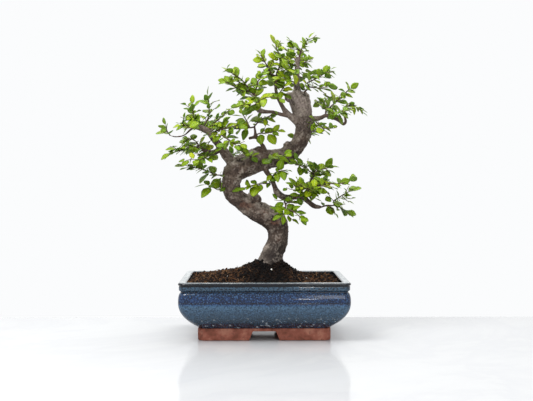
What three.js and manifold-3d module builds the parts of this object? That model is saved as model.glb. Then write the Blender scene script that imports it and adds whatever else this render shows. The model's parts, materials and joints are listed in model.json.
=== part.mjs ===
// A small-leaved elm trained as an S-shaped bonsai in a glazed oval-sided pot.
// Millimetres, +Z up, +Y away from the viewer; the origin is on the table under the pot.
import * as THREE from "three";
import Module from "manifold-3d";

const wasm = await Module();
wasm.setup();
const { Manifold, Mesh } = wasm;

// ---- Pot: one fired piece, glazed outside, bare clay at the foot ----
const potWidth = 203;
const potDepth = 150;
const potHeight = 71;
const rimWidth = 9.6;
const rimBand = 10; // height of the moulded band below the rim
const cornerRadius = 9;
const bellyHeight = 48; // where the wall below the band is widest
const bellyInset = 23.5; // how far the wall draws in from there down to the foot
const wallThickness = 9;
const floorThickness = 7.5;
const footHeight = 14.5;
const footInset = 22; // from the rim's edge to the foot's outer face
const footRail = 15; // width of the rail that the pot stands on
const gateTop = 27; // the opening through the front and back rail
const gateBottom = 37;
const gateHeight = 11.3;
const drainDiameter = 18;
const drainSpacing = 76;

// ---- Pieces in the pot ----
const clearance = 0.3; // kept between pieces that touch
const screenSize = 34; // square plastic mesh over each drain hole
const screenThickness = 1.4;
const screenOpening = 5;
const screenBar = 2.4;
const soilBelowRim = 3; // level of the soil along the wall
const moundHeight = 28; // how far the soil rises round the trunk
const moundSpread = 17;

// ---- Tree: heights in the tables count from the pot's rim ----
const treeScale = 1; // enlarges the tree's paths without thickening the wood
const woodGirth = 1; // multiplies every radius of trunk and branches
const stemRadius = 1.1;
const leafLength = 20;
const leafWidth = 12.5;
const leafFold = 1.5; // depth of the crease along the midrib

const colours = {
  glaze: 0x2f4a6b,
  soil: 0x3a2418,
  screen: 0x2b2d2c,
  bark: 0x6b5d52,
  twig: 0x4a3028,
};

// Trunk and branches: points x, y, height above the rim, and radius.
const trunkPath = [
  [4, 0, 0, 19], [6, 0, 11, 16.5], [10, 0, 25, 14], [15, 0, 39, 13], [18, -1, 54, 13],
  [13, -2, 69, 14.5], [-2, -3, 78, 13.5], [-14, -4, 84, 12.5], [-22, -4, 90, 11.5],
  [-30, -5, 96, 11], [-38, -6, 103, 11.5], [-41, -6, 114, 11.5], [-40, -6, 121, 11.5],
  [-38, -6, 128, 13], [-32, -5, 134, 14.5], [-22, -4, 139, 14.5], [-11, -2, 144, 15],
  [1, 0, 145, 13], [12, 2, 147, 11.5], [25, 3, 150, 10.5], [35, 4, 157, 11],
  [42, 4, 164, 10], [47, 5, 173, 10], [50, 5, 184, 10], [50, 5, 195, 11], [48, 4, 203, 12],
  [46, 3, 214, 13], [44, 2, 222, 13.5], [44, 2, 230, 9],
];
const leaderPath = [
  [43, 2, 218, 7], [41, 1, 235, 4.5], [41, 0, 246, 3.5], [41, 0, 257, 3.3], [42, 0, 266, 3.2],
  [43, 0, 273, 3.2],
];
const rootPaths = [
  [[2, 0, 6, 14], [-14, -4, -6, 9], [-32, -8, -18, 6], [-52, -14, -30, 3.5]],
  [[6, -2, 6, 13], [10, -18, -8, 8], [18, -34, -20, 5], [30, -44, -30, 3]],
  [[8, 0, 6, 13], [24, 2, -8, 8], [40, 8, -20, 5.5], [60, 14, -30, 3]],
  [[4, 2, 6, 13], [0, 20, -8, 8], [-8, 34, -20, 5], [-22, 44, -30, 3]],
];
// Knots and pruning scars: centre and radius.
const knots = [
  [-13, -4, 96, 9.5], [17, -9, 68, 9], [32, 4, 223, 6.5], [49, 4, 220, 9], [30, 0, 164, 5.5],
  [-30, -9, 139, 9], [-6, -2, 153, 9],
];

// Each branch: the paths that make it. Later paths start inside the first.
const branches = [
  { name: "branch_left_low", paths: [
    [[-34, -5, 134, 7], [-46, -7, 150, 6], [-53, -9, 160, 5], [-61, -10, 170, 4.5],
      [-68, -12, 179, 4], [-78, -12, 184, 4], [-85, -12, 185, 3], [-90, -13, 182, 1.6],
      [-98, -14, 175, 1.1], [-108, -15, 173, 1], [-116, -16, 175, 0.8]],
    [[-53, -9, 159, 4], [-63, -15, 153, 4], [-71, -19, 155, 2.5], [-76, -21, 157, 1.8]],
  ] },
  { name: "branch_upper_left", paths: [
    [[49, 4, 186, 6], [40, 2, 194, 4.5], [33, 0, 199, 4], [27, -2, 205, 3.4], [22, 0, 213, 2.6],
      [17, 2, 224, 2.4], [15, 3, 232, 2], [15, 3, 244, 1.6], [16, 3, 253, 1.4]],
    [[31, -1, 200, 3], [22, -3, 201, 2.4], [12, -6, 204, 2.2], [4, -9, 204, 2.6],
      [-6, -12, 206, 3.6], [-8, -13, 215, 2.6], [-11, -13, 223, 2], [-17, -13, 230, 1.5]],
  ] },
  { name: "branch_middle", paths: [
    [[4, -2, 146, 4], [1, -6, 157, 2.8], [-5, -10, 168, 2.2], [-10, -12, 174, 2.5],
      [-11, -13, 180, 1.6], [-12, -14, 187, 1.4]],
    [[-9, -12, 173, 2.2], [-15, -13, 172, 2], [-19, -14, 171, 2]],
  ] },
  { name: "branch_right", paths: [
    [[52, 4, 194, 5], [61, 2, 196, 3.6], [69, 0, 197, 3], [77, -3, 200, 2.6], [83, -5, 198, 2.5],
      [91, -6, 195, 2.2], [98, -7, 189, 2], [101, -7, 192, 1.9], [100, -7, 197, 1.6],
      [99, -7, 204, 1.4], [98, -7, 210, 1.2]],
  ] },
  { name: "branch_right_low", paths: [
    [[0, -4, 142, 5], [3, -9, 131, 3.5], [9, -12, 122, 3], [13, -14, 112, 3], [17, -14, 104, 4],
      [25, -12, 99, 4], [36, -10, 99, 3.6], [47, -8, 99, 3.5], [54, -8, 94, 3.5],
      [60, -9, 89, 3.5], [66, -10, 87, 2.8], [71, -10, 87, 1.6]],
    [[46, -8, 99, 3], [53, -4, 106, 2.5], [57, 0, 114, 2], [59, 3, 123, 1.5]],
  ] },
];

// Leafy shoots: where each grows, the path of each stem above the rim, how many leaves it bears,
// and their size against leafLength. A second stem forks from the first.
const shoots = [
  { name: "shoot_crown_top", on: "trunk", stems: [
    { path: [[43, 0, 269], [47, -3, 283], [55, -6, 295]], leaves: 6, size: 0.95 },
    { path: [[45, -1, 277], [39, 3, 287], [34, 4, 293]], leaves: 5, size: 0.8 },
  ] },
  { name: "shoot_crown_left", on: "trunk", stems: [
    { path: [[41, 0, 259], [31, -8, 266], [21, -14, 271]], leaves: 6, size: 0.95 },
  ] },
  { name: "shoot_crown_back", on: "trunk", stems: [
    { path: [[41, 2, 262], [40, 20, 272], [34, 42, 283]], leaves: 7, size: 1 },
    { path: [[41, 12, 267], [50, 28, 269], [58, 40, 275]], leaves: 5, size: 1 },
  ] },
  { name: "shoot_crown_front", on: "trunk", stems: [
    { path: [[41, -2, 249], [35, -18, 252], [28, -38, 255]], leaves: 7, size: 1 },
  ] },
  { name: "shoot_crown_right", on: "trunk", stems: [
    { path: [[42, 0, 235], [64, -8, 245], [82, -14, 256]], leaves: 8, size: 0.85 },
    { path: [[48, -3, 237], [63, -14, 233], [78, -24, 233]], leaves: 3, size: 1.15 },
  ] },
  { name: "shoot_crown_right_back", on: "trunk", stems: [
    { path: [[42, 3, 245], [53, 18, 252], [65, 34, 261]], leaves: 7, size: 1 },
  ] },
  { name: "shoot_crown_centre", on: "trunk", stems: [
    { path: [[40, -2, 239], [29, -16, 243], [18, -30, 242]], leaves: 7, size: 1 },
  ] },
  { name: "shoot_upper_left_top", on: "branch_upper_left", stems: [
    { path: [[16, 3, 251], [20, 2, 267], [14, 0, 289]], leaves: 8, size: 1.05 },
  ] },
  { name: "shoot_upper_left_rise", on: "branch_upper_left", stems: [
    { path: [[15, 3, 241], [5, -4, 259], [-5, -10, 275]], leaves: 8, size: 0.9 },
  ] },
  { name: "shoot_upper_left_right", on: "branch_upper_left", stems: [
    { path: [[16, 3, 247], [25, 14, 256], [33, 26, 268]], leaves: 6, size: 1 },
  ] },
  { name: "shoot_upper_left_back", on: "branch_upper_left", stems: [
    { path: [[15, 3, 232], [12, 28, 245], [6, 54, 260]], leaves: 8, size: 1 },
  ] },
  { name: "shoot_upper_left_front", on: "branch_upper_left", stems: [
    { path: [[17, 2, 224], [21, -20, 229], [25, -44, 234]], leaves: 7, size: 1 },
  ] },
  { name: "shoot_reach_tip", on: "branch_upper_left", stems: [
    { path: [[-17, -13, 230], [-28, -16, 243], [-42, -20, 252]], leaves: 9, size: 0.95 },
  ] },
  { name: "shoot_reach_low", on: "branch_upper_left", stems: [
    { path: [[-15, -13, 228], [-29, -22, 230], [-46, -28, 239]], leaves: 8, size: 0.9 },
  ] },
  { name: "shoot_reach_up", on: "branch_upper_left", stems: [
    { path: [[-11, -13, 222], [-8, -18, 239], [-1, -24, 250]], leaves: 7, size: 1 },
  ] },
  { name: "shoot_reach_back", on: "branch_upper_left", stems: [
    { path: [[-9, -13, 217], [-16, 10, 227], [-27, 38, 237]], leaves: 8, size: 1 },
  ] },
  { name: "shoot_reach_front", on: "branch_upper_left", stems: [
    { path: [[-6, -14, 207], [-16, -34, 209], [-27, -58, 212]], leaves: 8, size: 1 },
    { path: [[-14, -28, 209], [-5, -42, 215], [3, -54, 218]], leaves: 4, size: 1.1 },
  ] },
  { name: "shoot_left_tip", on: "branch_left_low", stems: [
    { path: [[-113, -16, 173], [-118, -18, 179], [-120, -20, 187]], leaves: 4, size: 0.75 },
  ] },
  { name: "shoot_left_rise_outer", on: "branch_left_low", stems: [
    { path: [[-86, -12, 185], [-87, -12, 199], [-87, -12, 214]], leaves: 8, size: 0.95 },
  ] },
  { name: "shoot_left_rise_inner", on: "branch_left_low", stems: [
    { path: [[-75, -12, 184], [-68, -10, 199], [-69, -8, 225]], leaves: 8, size: 1 },
  ] },
  { name: "shoot_left_inner", on: "branch_left_low", stems: [
    { path: [[-70, -12, 180], [-59, -17, 191], [-40, -22, 207]], leaves: 8, size: 1 },
  ] },
  { name: "shoot_left_front", on: "branch_left_low", stems: [
    { path: [[-67, -12, 177], [-51, -26, 182], [-30, -40, 185]], leaves: 7, size: 1 },
    { path: [[-58, -20, 179], [-47, -38, 171], [-34, -54, 161]], leaves: 5, size: 1 },
  ] },
  { name: "shoot_left_back", on: "branch_left_low", stems: [
    { path: [[-65, -11, 174], [-65, 14, 186], [-62, 50, 202]], leaves: 8, size: 1 },
    { path: [[-66, 6, 181], [-78, 22, 191], [-95, 38, 201]], leaves: 7, size: 1 },
  ] },
  { name: "shoot_left_front_outer", on: "branch_left_low", stems: [
    { path: [[-83, -12, 184], [-90, -32, 185], [-98, -54, 187]], leaves: 7, size: 1 },
  ] },
  { name: "shoot_low_left_tip", on: "branch_left_low", stems: [
    { path: [[-73, -20, 156], [-91, -25, 158], [-114, -30, 152]], leaves: 8, size: 1.05 },
    { path: [[-78, -21, 158], [-83, -20, 167], [-94, -18, 172]], leaves: 5, size: 0.9 },
  ] },
  { name: "shoot_low_left_back", on: "branch_left_low", stems: [
    { path: [[-70, -18, 154], [-81, 6, 160], [-99, 30, 165]], leaves: 8, size: 1 },
  ] },
  { name: "shoot_low_left_front", on: "branch_left_low", stems: [
    { path: [[-63, -15, 153], [-69, -32, 148], [-78, -52, 143]], leaves: 7, size: 1 },
  ] },
  { name: "shoot_elbow_left", on: "trunk", stems: [
    { path: [[-47, -8, 120], [-72, -16, 132], [-97, -22, 138]], leaves: 6, size: 1.15 },
  ] },
  { name: "shoot_elbow_small", on: "trunk", stems: [
    { path: [[-47, -8, 105], [-62, -14, 111], [-71, -18, 115]], leaves: 3, size: 1.15 },
  ] },
  { name: "shoot_front_left", on: "trunk", stems: [
    { path: [[-10, -6, 145], [-17, -24, 149], [-28, -44, 155]], leaves: 6, size: 1 },
  ] },
  { name: "shoot_front_right", on: "trunk", stems: [
    { path: [[5, -4, 146], [14, -24, 147], [26, -46, 151]], leaves: 7, size: 1 },
  ] },
  { name: "shoot_gap", on: "branch_right_low", stems: [
    { path: [[12, -14, 115], [-3, -18, 116], [-26, -22, 110]], leaves: 3, size: 1.15 },
  ] },
  { name: "shoot_middle_left", on: "branch_middle", stems: [
    { path: [[-12, -14, 184], [-23, -18, 184], [-38, -22, 182]], leaves: 6, size: 0.95 },
    { path: [[-17, -16, 184], [-22, -12, 194], [-27, -6, 202]], leaves: 5, size: 0.95 },
  ] },
  { name: "shoot_middle_right", on: "branch_middle", stems: [
    { path: [[-11, -13, 178], [1, -18, 177], [16, -24, 180]], leaves: 5, size: 1 },
  ] },
  { name: "shoot_middle_top", on: "branch_middle", stems: [
    { path: [[-12, -14, 185], [-4, -4, 195], [8, 8, 200]], leaves: 7, size: 1 },
  ] },
  { name: "shoot_right_twig", on: "branch_right", stems: [
    { path: [[67, 0, 197], [86, -4, 214], [107, -8, 234]], leaves: 9, size: 0.95 },
  ] },
  { name: "shoot_right_tip", on: "branch_right", stems: [
    { path: [[98, -7, 208], [108, -7, 213], [119, -6, 207]], leaves: 6, size: 0.85 },
  ] },
  { name: "shoot_right_back", on: "branch_right", stems: [
    { path: [[77, -3, 200], [79, 18, 211], [77, 44, 225]], leaves: 8, size: 1 },
  ] },
  { name: "shoot_right_under", on: "branch_right", stems: [
    { path: [[62, 1, 196], [66, -16, 189], [73, -34, 180]], leaves: 6, size: 1 },
  ] },
  { name: "shoot_right_front", on: "branch_right", stems: [
    { path: [[83, -5, 198], [89, -24, 202], [94, -46, 202]], leaves: 7, size: 0.95 },
  ] },
  { name: "shoot_low_right_tip", on: "branch_right_low", stems: [
    { path: [[68, -10, 87], [86, -12, 89], [102, -14, 82]], leaves: 4, size: 1 },
    { path: [[79, -11, 88], [92, -18, 99], [107, -24, 108]], leaves: 7, size: 1 },
  ] },
  { name: "shoot_low_right_top", on: "branch_right_low", stems: [
    { path: [[59, 2, 120], [67, 0, 131], [83, -4, 136]], leaves: 8, size: 1 },
    { path: [[62, 1, 126], [49, -8, 136], [37, -18, 140]], leaves: 6, size: 1 },
  ] },
  { name: "shoot_low_right_outer", on: "branch_right_low", stems: [
    { path: [[55, -2, 110], [73, -20, 115], [96, -38, 116]], leaves: 9, size: 1 },
  ] },
  { name: "shoot_low_right_back", on: "branch_right_low", stems: [
    { path: [[52, -5, 104], [62, 18, 113], [78, 46, 120]], leaves: 8, size: 1 },
  ] },
  { name: "shoot_low_right_front", on: "branch_right_low", stems: [
    { path: [[48, -8, 97], [53, -30, 106], [58, -58, 111]], leaves: 8, size: 1 },
    { path: [[50, -16, 101], [42, -34, 108], [34, -50, 115]], leaves: 6, size: 1 },
  ] },
  { name: "shoot_stem_front", on: "branch_right_low", stems: [
    { path: [[9, -12, 122], [14, -24, 129], [25, -38, 132]], leaves: 6, size: 1 },
  ] },
  { name: "shoot_elbow_front", on: "branch_right_low", stems: [
    { path: [[23, -12, 98], [26, -28, 89], [23, -42, 77]], leaves: 6, size: 1.1 },
    { path: [[26, -33, 85], [34, -40, 83], [44, -46, 75]], leaves: 3, size: 1.1 },
  ] },
  { name: "shoot_back_low", on: "trunk", stems: [
    { path: [[-30, -4, 135], [-33, 24, 146], [-40, 54, 157]], leaves: 8, size: 1 },
  ] },
  { name: "shoot_back_right", on: "trunk", stems: [
    { path: [[46, 6, 175], [57, 30, 179], [71, 58, 188]], leaves: 7, size: 1 },
  ] },
];

// ---- Solids from points ----

/** A closed solid from flat lists of positions and triangle corners. */
function solidFrom(positions, triangles) {
  return new Manifold(new Mesh({
    numProp: 3,
    vertProperties: new Float32Array(positions),
    triVerts: new Uint32Array(triangles),
  }));
}

/** Joins rings of equal size, first to last, and closes both ends. */
function skin(rings) {
  const sides = rings[0].length;
  const last = (rings.length - 1) * sides;
  const triangles = [];
  for (let ring = 0; ring < rings.length - 1; ring += 1) {
    for (let side = 0; side < sides; side += 1) {
      const next = (side + 1) % sides;
      const a = ring * sides + side;
      const b = ring * sides + next;
      triangles.push(a, b, b + sides, a, b + sides, a + sides);
    }
  }
  for (let side = 1; side < sides - 1; side += 1) {
    triangles.push(0, side + 1, side);
    triangles.push(last, last + side, last + side + 1);
  }
  return solidFrom(rings.flat().flatMap((p) => [p.x, p.y, p.z]), triangles);
}

/** A rounded rectangle at one height, anticlockwise from above. */
function outline(halfX, halfY, radius, z) {
  const steps = 3;
  const points = [];
  for (let corner = 0; corner < 4; corner += 1) {
    const sx = corner === 0 || corner === 3 ? 1 : -1;
    const sy = corner < 2 ? 1 : -1;
    for (let step = 0; step <= steps; step += 1) {
      const angle = (corner + step / steps) * Math.PI / 2;
      points.push(new THREE.Vector3(
        sx * (halfX - radius) + radius * Math.cos(angle),
        sy * (halfY - radius) + radius * Math.sin(angle),
        z,
      ));
    }
  }
  return points;
}

/** The pot's outline drawn in by an inset. */
function potOutline(inset, z, radius = cornerRadius) {
  return outline(potWidth / 2 - inset, potDepth / 2 - inset, radius, z);
}

function block(width, depth, height, x, y, z) {
  const rings = [z, z + height].map((level) => [
    new THREE.Vector3(x - width / 2, y - depth / 2, level),
    new THREE.Vector3(x + width / 2, y - depth / 2, level),
    new THREE.Vector3(x + width / 2, y + depth / 2, level),
    new THREE.Vector3(x - width / 2, y + depth / 2, level),
  ]);
  return skin(rings);
}

function drum(diameter, height, x, y, z, sides = 16) {
  const ring = (level) => Array.from({ length: sides }, (_, side) => {
    const angle = (side / sides) * 2 * Math.PI;
    return new THREE.Vector3(
      x + (diameter / 2) * Math.cos(angle),
      y + (diameter / 2) * Math.sin(angle),
      level,
    );
  });
  return skin([ring(z), ring(z + height)]);
}

/** A round limb along a smooth path, with its own radius at each point. */
function limb(points, radii, { sides = 8, steps = 2, grow = 0 } = {}) {
  const path = new THREE.CatmullRomCurve3(points, false, "centripetal");
  const count = (points.length - 1) * steps;
  const rings = [];
  let across = null;
  for (let ring = 0; ring <= count; ring += 1) {
    const t = ring / count;
    const centre = path.getPoint(t);
    const along = path.getTangent(t);
    if (!across) {
      const helper = Math.abs(along.z) < 0.8 ? new THREE.Vector3(0, 0, 1)
        : new THREE.Vector3(0, 1, 0);
      across = helper.cross(along);
    }
    across = across.clone().addScaledVector(along, -across.dot(along)).normalize();
    const other = along.clone().cross(across);
    const spot = t * (radii.length - 1);
    const low = Math.min(Math.floor(spot), radii.length - 2);
    const radius = THREE.MathUtils.lerp(radii[low], radii[low + 1], spot - low) + grow;
    if (ring === 0) {
      centre.addScaledVector(along, -grow);
    }
    if (ring === count) {
      centre.addScaledVector(along, grow);
    }
    rings.push(Array.from({ length: sides }, (_, side) => {
      const angle = (side / sides) * 2 * Math.PI;
      return centre.clone()
        .addScaledVector(across, radius * Math.cos(angle))
        .addScaledVector(other, radius * Math.sin(angle));
    }));
  }
  return skin(rings);
}

/** A point of the tree: x, y and height above the rim. */
function treePoint([x, y, height]) {
  return new THREE.Vector3(
    x * treeScale,
    y * treeScale,
    potHeight + height * treeScale,
  );
}

function wood(path, options) {
  return limb(path.map(treePoint), path.map((point) => point[3] * woodGirth), options);
}

/** A rounded knot on the trunk: three rings between two small ends. */
function knot([x, y, height, radius], grow) {
  const centre = treePoint([x, y, height]);
  const size = radius * woodGirth + grow;
  const levels = [-0.95, -0.5, 0.5, 0.95];
  const rings = levels.map((level) => {
    const width = size * Math.sqrt(1 - level * level);
    return Array.from({ length: 7 }, (_, side) => {
      const angle = ((side + 0.5) / 7) * 2 * Math.PI;
      return new THREE.Vector3(
        centre.x + width * Math.cos(angle),
        centre.y + width * Math.sin(angle),
        centre.z + size * level,
      );
    });
  });
  return skin(rings);
}

// ---- The pot ----

function wallOutside() {
  const rim = [
    [10.6, 2.9], [9.6, 2.0], [8.6, 1.2], [4, 1.0], [3.1, 0.3], [2.1, 0], [0.9, 0.6], [0, 2.2],
  ];
  const steps = 9;
  const rings = [];
  for (let step = 0; step <= steps; step += 1) {
    const share = 1 - step / steps;
    const z = bellyHeight - share * (bellyHeight - footHeight);
    rings.push(potOutline(bellyInset * share ** 2.2, z));
  }
  const neck = potHeight - rimBand - 1.8;
  rings.push(potOutline(0.4, THREE.MathUtils.lerp(bellyHeight, neck, 0.5)));
  rings.push(potOutline(1.4, THREE.MathUtils.lerp(bellyHeight, neck, 0.85)));
  rings.push(potOutline(2.8, neck));
  for (const [drop, inset] of rim) {
    rings.push(potOutline(inset, potHeight - drop * (rimBand / 10)));
  }
  return skin(rings);
}

const floorTop = footHeight + floorThickness;

function insideInset(z) {
  const depth = THREE.MathUtils.clamp((bellyHeight - z) / (bellyHeight - footHeight), 0, 1);
  return Math.max(rimWidth, wallThickness + bellyInset * depth ** 2.2);
}

/** The space inside the pot, drawn in by a gap, from the floor up to a level. */
function hollow(gap, top) {
  const levels = [floorTop, 26, 31, 37, 44, 52].filter((z) => z < top - 2);
  const rings = levels.map((z, index) => potOutline(
    insideInset(z) + gap,
    z + (index === 0 ? gap : 0),
    cornerRadius / 2,
  ));
  rings.push(potOutline(rimWidth + gap, top, cornerRadius / 2));
  return rings;
}

function makePot() {
  let body = wallOutside();
  const foot = [
    potOutline(footInset + 1.4, 0),
    potOutline(footInset, 1.4),
    potOutline(footInset, footHeight - 1),
    potOutline(footInset + 1, footHeight + 0.6),
  ];
  body = body.add(skin(foot));
  const under = footInset + footRail;
  body = body.subtract(skin([
    potOutline(under, -1, cornerRadius / 2),
    potOutline(under + 1, footHeight, cornerRadius / 2),
  ]));
  const gate = (halfWidth, z) => [
    new THREE.Vector3(-halfWidth, -potDepth, z),
    new THREE.Vector3(halfWidth, -potDepth, z),
    new THREE.Vector3(halfWidth, potDepth, z),
    new THREE.Vector3(-halfWidth, potDepth, z),
  ];
  const flare = (gateBottom - gateTop) / 2 / gateHeight;
  body = body.subtract(skin([
    gate(gateBottom / 2 + flare, -1),
    gate(gateTop / 2, gateHeight),
  ]));
  const inside = hollow(0, potHeight - 0.8);
  inside.push(potOutline(rimWidth - 0.7, potHeight + 0.01, cornerRadius / 2));
  inside.push(potOutline(rimWidth - 0.7, potHeight + 1, cornerRadius / 2));
  body = body.subtract(skin(inside));
  for (const side of [-1, 1]) {
    const x = side * drainSpacing / 2;
    body = body.subtract(drum(drainDiameter, floorThickness + 4, x, 0, footHeight - 2));
  }
  return body;
}

/** Plastic mesh laid over a drain hole so that the soil stays in. */
function makeScreen(x) {
  const z = floorTop + clearance;
  let sheet = block(screenSize, screenSize, screenThickness, x, 0, z);
  const pitch = screenOpening + screenBar;
  const count = Math.floor((screenSize - screenBar) / pitch);
  const first = -((count - 1) / 2) * pitch;
  for (let row = 0; row < count; row += 1) {
    for (let column = 0; column < count; column += 1) {
      sheet = sheet.subtract(block(
        screenOpening,
        screenOpening,
        screenThickness + 2,
        x + first + column * pitch,
        first + row * pitch,
        z - 1,
      ));
    }
  }
  return sheet;
}

/** Height of the soil's surface: level at the walls, heaped round the trunk. */
function soilHeight(x, y) {
  const bump = (cx, spreadX, spreadY) => Math.exp(
    -((x - cx) ** 2) / (2 * spreadX ** 2) - y ** 2 / (2 * spreadY ** 2),
  );
  const tall = moundHeight * bump(9, moundSpread * 1.25, moundSpread * 1.4);
  const broad = 10 * bump(-45, 26, 30);
  return potHeight - soilBelowRim - x * 0.008 + tall + broad;
}

function makeSoil(cutters) {
  const wallLevel = potHeight - soilBelowRim - 3;
  const rings = hollow(clearance, wallLevel);
  for (const share of [0, 0.06, 0.25, 0.45, 0.6, 0.74, 0.88]) {
    const halfX = (potWidth / 2 - rimWidth - clearance) * (1 - share);
    const halfY = (potDepth / 2 - rimWidth - clearance) * (1 - share);
    const ring = outline(halfX, halfY, (cornerRadius / 2) * (1 - share) + share * halfY * 0.8, 0);
    for (const point of ring) {
      point.x += 10 * share;
      point.z = soilHeight(point.x, point.y) - (share === 0 ? 1 : 0);
    }
    rings.push(ring);
  }
  let soil = skin(rings);
  for (const cutter of cutters) {
    soil = soil.subtract(cutter);
  }
  return soil;
}

// ---- The tree ----

function makeTrunk(grow) {
  const shapes = [
    wood(trunkPath, { sides: 12, steps: 1, grow }),
    wood(leaderPath, { sides: 8, steps: 1, grow }),
    ...rootPaths.map((path) => wood(path, { sides: 6, steps: 1, grow })),
    ...knots.map((spot) => knot(spot, grow)),
  ];
  return shapes.reduce((whole, shape) => whole.add(shape));
}

function makeBranch(branch, grow) {
  const shapes = branch.paths.map((path) => wood(path, { sides: 7, steps: 1, grow }));
  return shapes.reduce((whole, shape) => whole.add(shape));
}

/** Keeps the part of a cut limb that reaches outwards. */
function largest(solid) {
  const parts = solid.decompose();
  parts.sort((a, b) => b.volume() - a.volume());
  return parts[0];
}

/** One leaf as a thin folded blade: base, tip and two edges. */
function leafSolid(base, along, up, length, width, margin = 0) {
  const normal = up.clone().addScaledVector(along, -up.dot(along)).normalize();
  const across = normal.clone().cross(along);
  const widest = base.clone()
    .addScaledVector(along, length * 0.45)
    .addScaledVector(normal, -leafFold - margin);
  const points = [
    base.clone().addScaledVector(along, -margin).addScaledVector(normal, margin),
    base.clone().addScaledVector(along, length + margin).addScaledVector(normal, margin),
    widest.clone().addScaledVector(across, width / 2 + margin),
    widest.clone().addScaledVector(across, -width / 2 - margin),
  ];
  return solidFrom(
    points.flatMap((p) => [p.x, p.y, p.z]),
    [0, 1, 2, 1, 0, 3, 0, 2, 3, 1, 3, 2],
  );
}

const placed = []; // every solid so far with its box and the node that owns it

function keep(owner, solid) {
  placed.push({ owner, solid, box: solid.boundingBox() });
}

/** Whether a solid stays clear of the placed solids that the filter names. */
function isClear(solid, applies) {
  const box = solid.boundingBox();
  return placed.every((other) => {
    if (!applies(other.owner)) {
      return true;
    }
    const apart = [0, 1, 2].some((axis) => box.min[axis] > other.box.max[axis]
      || box.max[axis] < other.box.min[axis]);
    return apart || solid.intersect(other.solid).isEmpty();
  });
}

function stemCurve(points) {
  return new THREE.CatmullRomCurve3(points, false, "centripetal");
}

function nearestOn(curve, point) {
  const spots = Array.from({ length: 25 }, (_, step) => curve.getPoint(step / 24));
  spots.sort((a, b) => a.distanceTo(point) - b.distanceTo(point));
  return spots[0];
}

/** Bows or turns a stem's free end a little, to pass what is in its way. */
function swung(points, turn, lift) {
  const [base] = points;
  return points.map((point) => {
    const arm = point.clone().sub(base);
    const reach = arm.length();
    arm.applyAxisAngle(new THREE.Vector3(0, 0, 1), turn);
    arm.z += lift * reach;
    return base.clone().add(arm);
  });
}

/** The stems of one shoot; the second starts on the first. */
function stemsOf(shoot, parent) {
  const tries = [[0, 0], [0.15, 0], [-0.15, 0], [0, 0.15], [0, -0.15], [0.3, 0.1], [-0.3, 0.1],
    [0.3, -0.15], [-0.3, -0.15], [0.5, 0], [-0.5, 0]];
  for (const [turn, lift] of tries) {
    const curves = [];
    let body = null;
    for (const stem of shoot.stems) {
      const points = swung(stem.path.map(treePoint), turn, lift);
      if (curves.length > 0) {
        points[0] = nearestOn(curves[0], points[0]);
      }
      const radii = points.map((_, index) => stemRadius * (1 - 0.2 * index));
      curves.push(stemCurve(points));
      const shape = limb(points, radii, { sides: 3, steps: 3 });
      body = body ? body.add(shape) : shape;
    }
    body = largest(body.subtract(parent));
    if (isClear(body, () => true)) {
      return { curves, body };
    }
  }
  return null;
}

/** A direction that a leaf's upper face turns to: up, outwards and a little at random. */
function facing(spot, random) {
  const outwards = new THREE.Vector3(spot.x - 8, (spot.y) * 1.4, 0).normalize();
  return new THREE.Vector3(0, 0, 0.75)
    .addScaledVector(outwards, 0.45)
    .add(new THREE.Vector3(random() - 0.5, random() - 0.75, random() - 0.5))
    .normalize();
}

function growLeaves(shoot, owner, curve, stem, body, random) {
  const rolls = [0, 0.35, -0.35, 0.7, -0.7, 1.1, -1.1];
  let whole = body;
  for (let index = 0; index < stem.leaves; index += 1) {
    const share = stem.leaves === 1 ? 1 : index / (stem.leaves - 1);
    const t = 0.26 + 0.71 * share;
    const base = curve.getPoint(t);
    const along = curve.getTangent(t);
    const up = facing(base, random);
    const side = along.clone().cross(up).normalize();
    const isTip = index === stem.leaves - 1;
    const spread = isTip ? 0.15 : THREE.MathUtils.lerp(1.15, 0.75, share);
    const hand = index % 2 === 0 ? 1 : -1;
    const growth = stem.size * (0.8 + 0.3 * random()) * (1 - 0.25 * share ** 3);
    const direction = along.clone().multiplyScalar(Math.cos(spread))
      .addScaledVector(side, hand * Math.sin(spread))
      .add(new THREE.Vector3(0, 0, -0.15))
      .normalize();
    let chosen = null;
    for (const strict of [true, false]) {
      for (const roll of rolls) {
        for (const pitch of [0, 0.4, -0.4]) {
          if (chosen) {
            break;
          }
          const aim = direction.clone().applyAxisAngle(side, pitch).applyAxisAngle(along, roll);
          const top = up.clone().applyAxisAngle(along, roll);
          const size = [leafLength * growth, leafWidth * growth];
          const test = leafSolid(base, aim, top, ...size, clearance * 1.3);
          if (isClear(test, (name) => (strict && name === `${owner} leaf`)
            || (name !== owner && name !== `${owner} leaf`))) {
            chosen = leafSolid(base, aim, top, ...size);
          }
        }
      }
    }
    const joined = chosen && whole.add(chosen);
    if (joined && joined.decompose().length === 1) {
      keep(`${owner} leaf`, chosen);
      whole = joined;
    }
  }
  return whole;
}

// ---- Everything together ----

const model = new THREE.Group();

function addNode(name, solid, colour, roughness, metalness = 0) {
  const mesh = solid.getMesh();
  const geometry = new THREE.BufferGeometry();
  geometry.setAttribute("position", new THREE.BufferAttribute(mesh.vertProperties, 3));
  geometry.setIndex(new THREE.BufferAttribute(mesh.triVerts, 1));
  geometry.computeVertexNormals();
  const material = new THREE.MeshStandardMaterial({ color: colour, roughness, metalness });
  const node = new THREE.Mesh(geometry, material);
  node.name = name;
  model.add(node);
}

const pot = makePot();
keep("pot", pot);
addNode("pot", pot, colours.glaze, 0.25);

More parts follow.
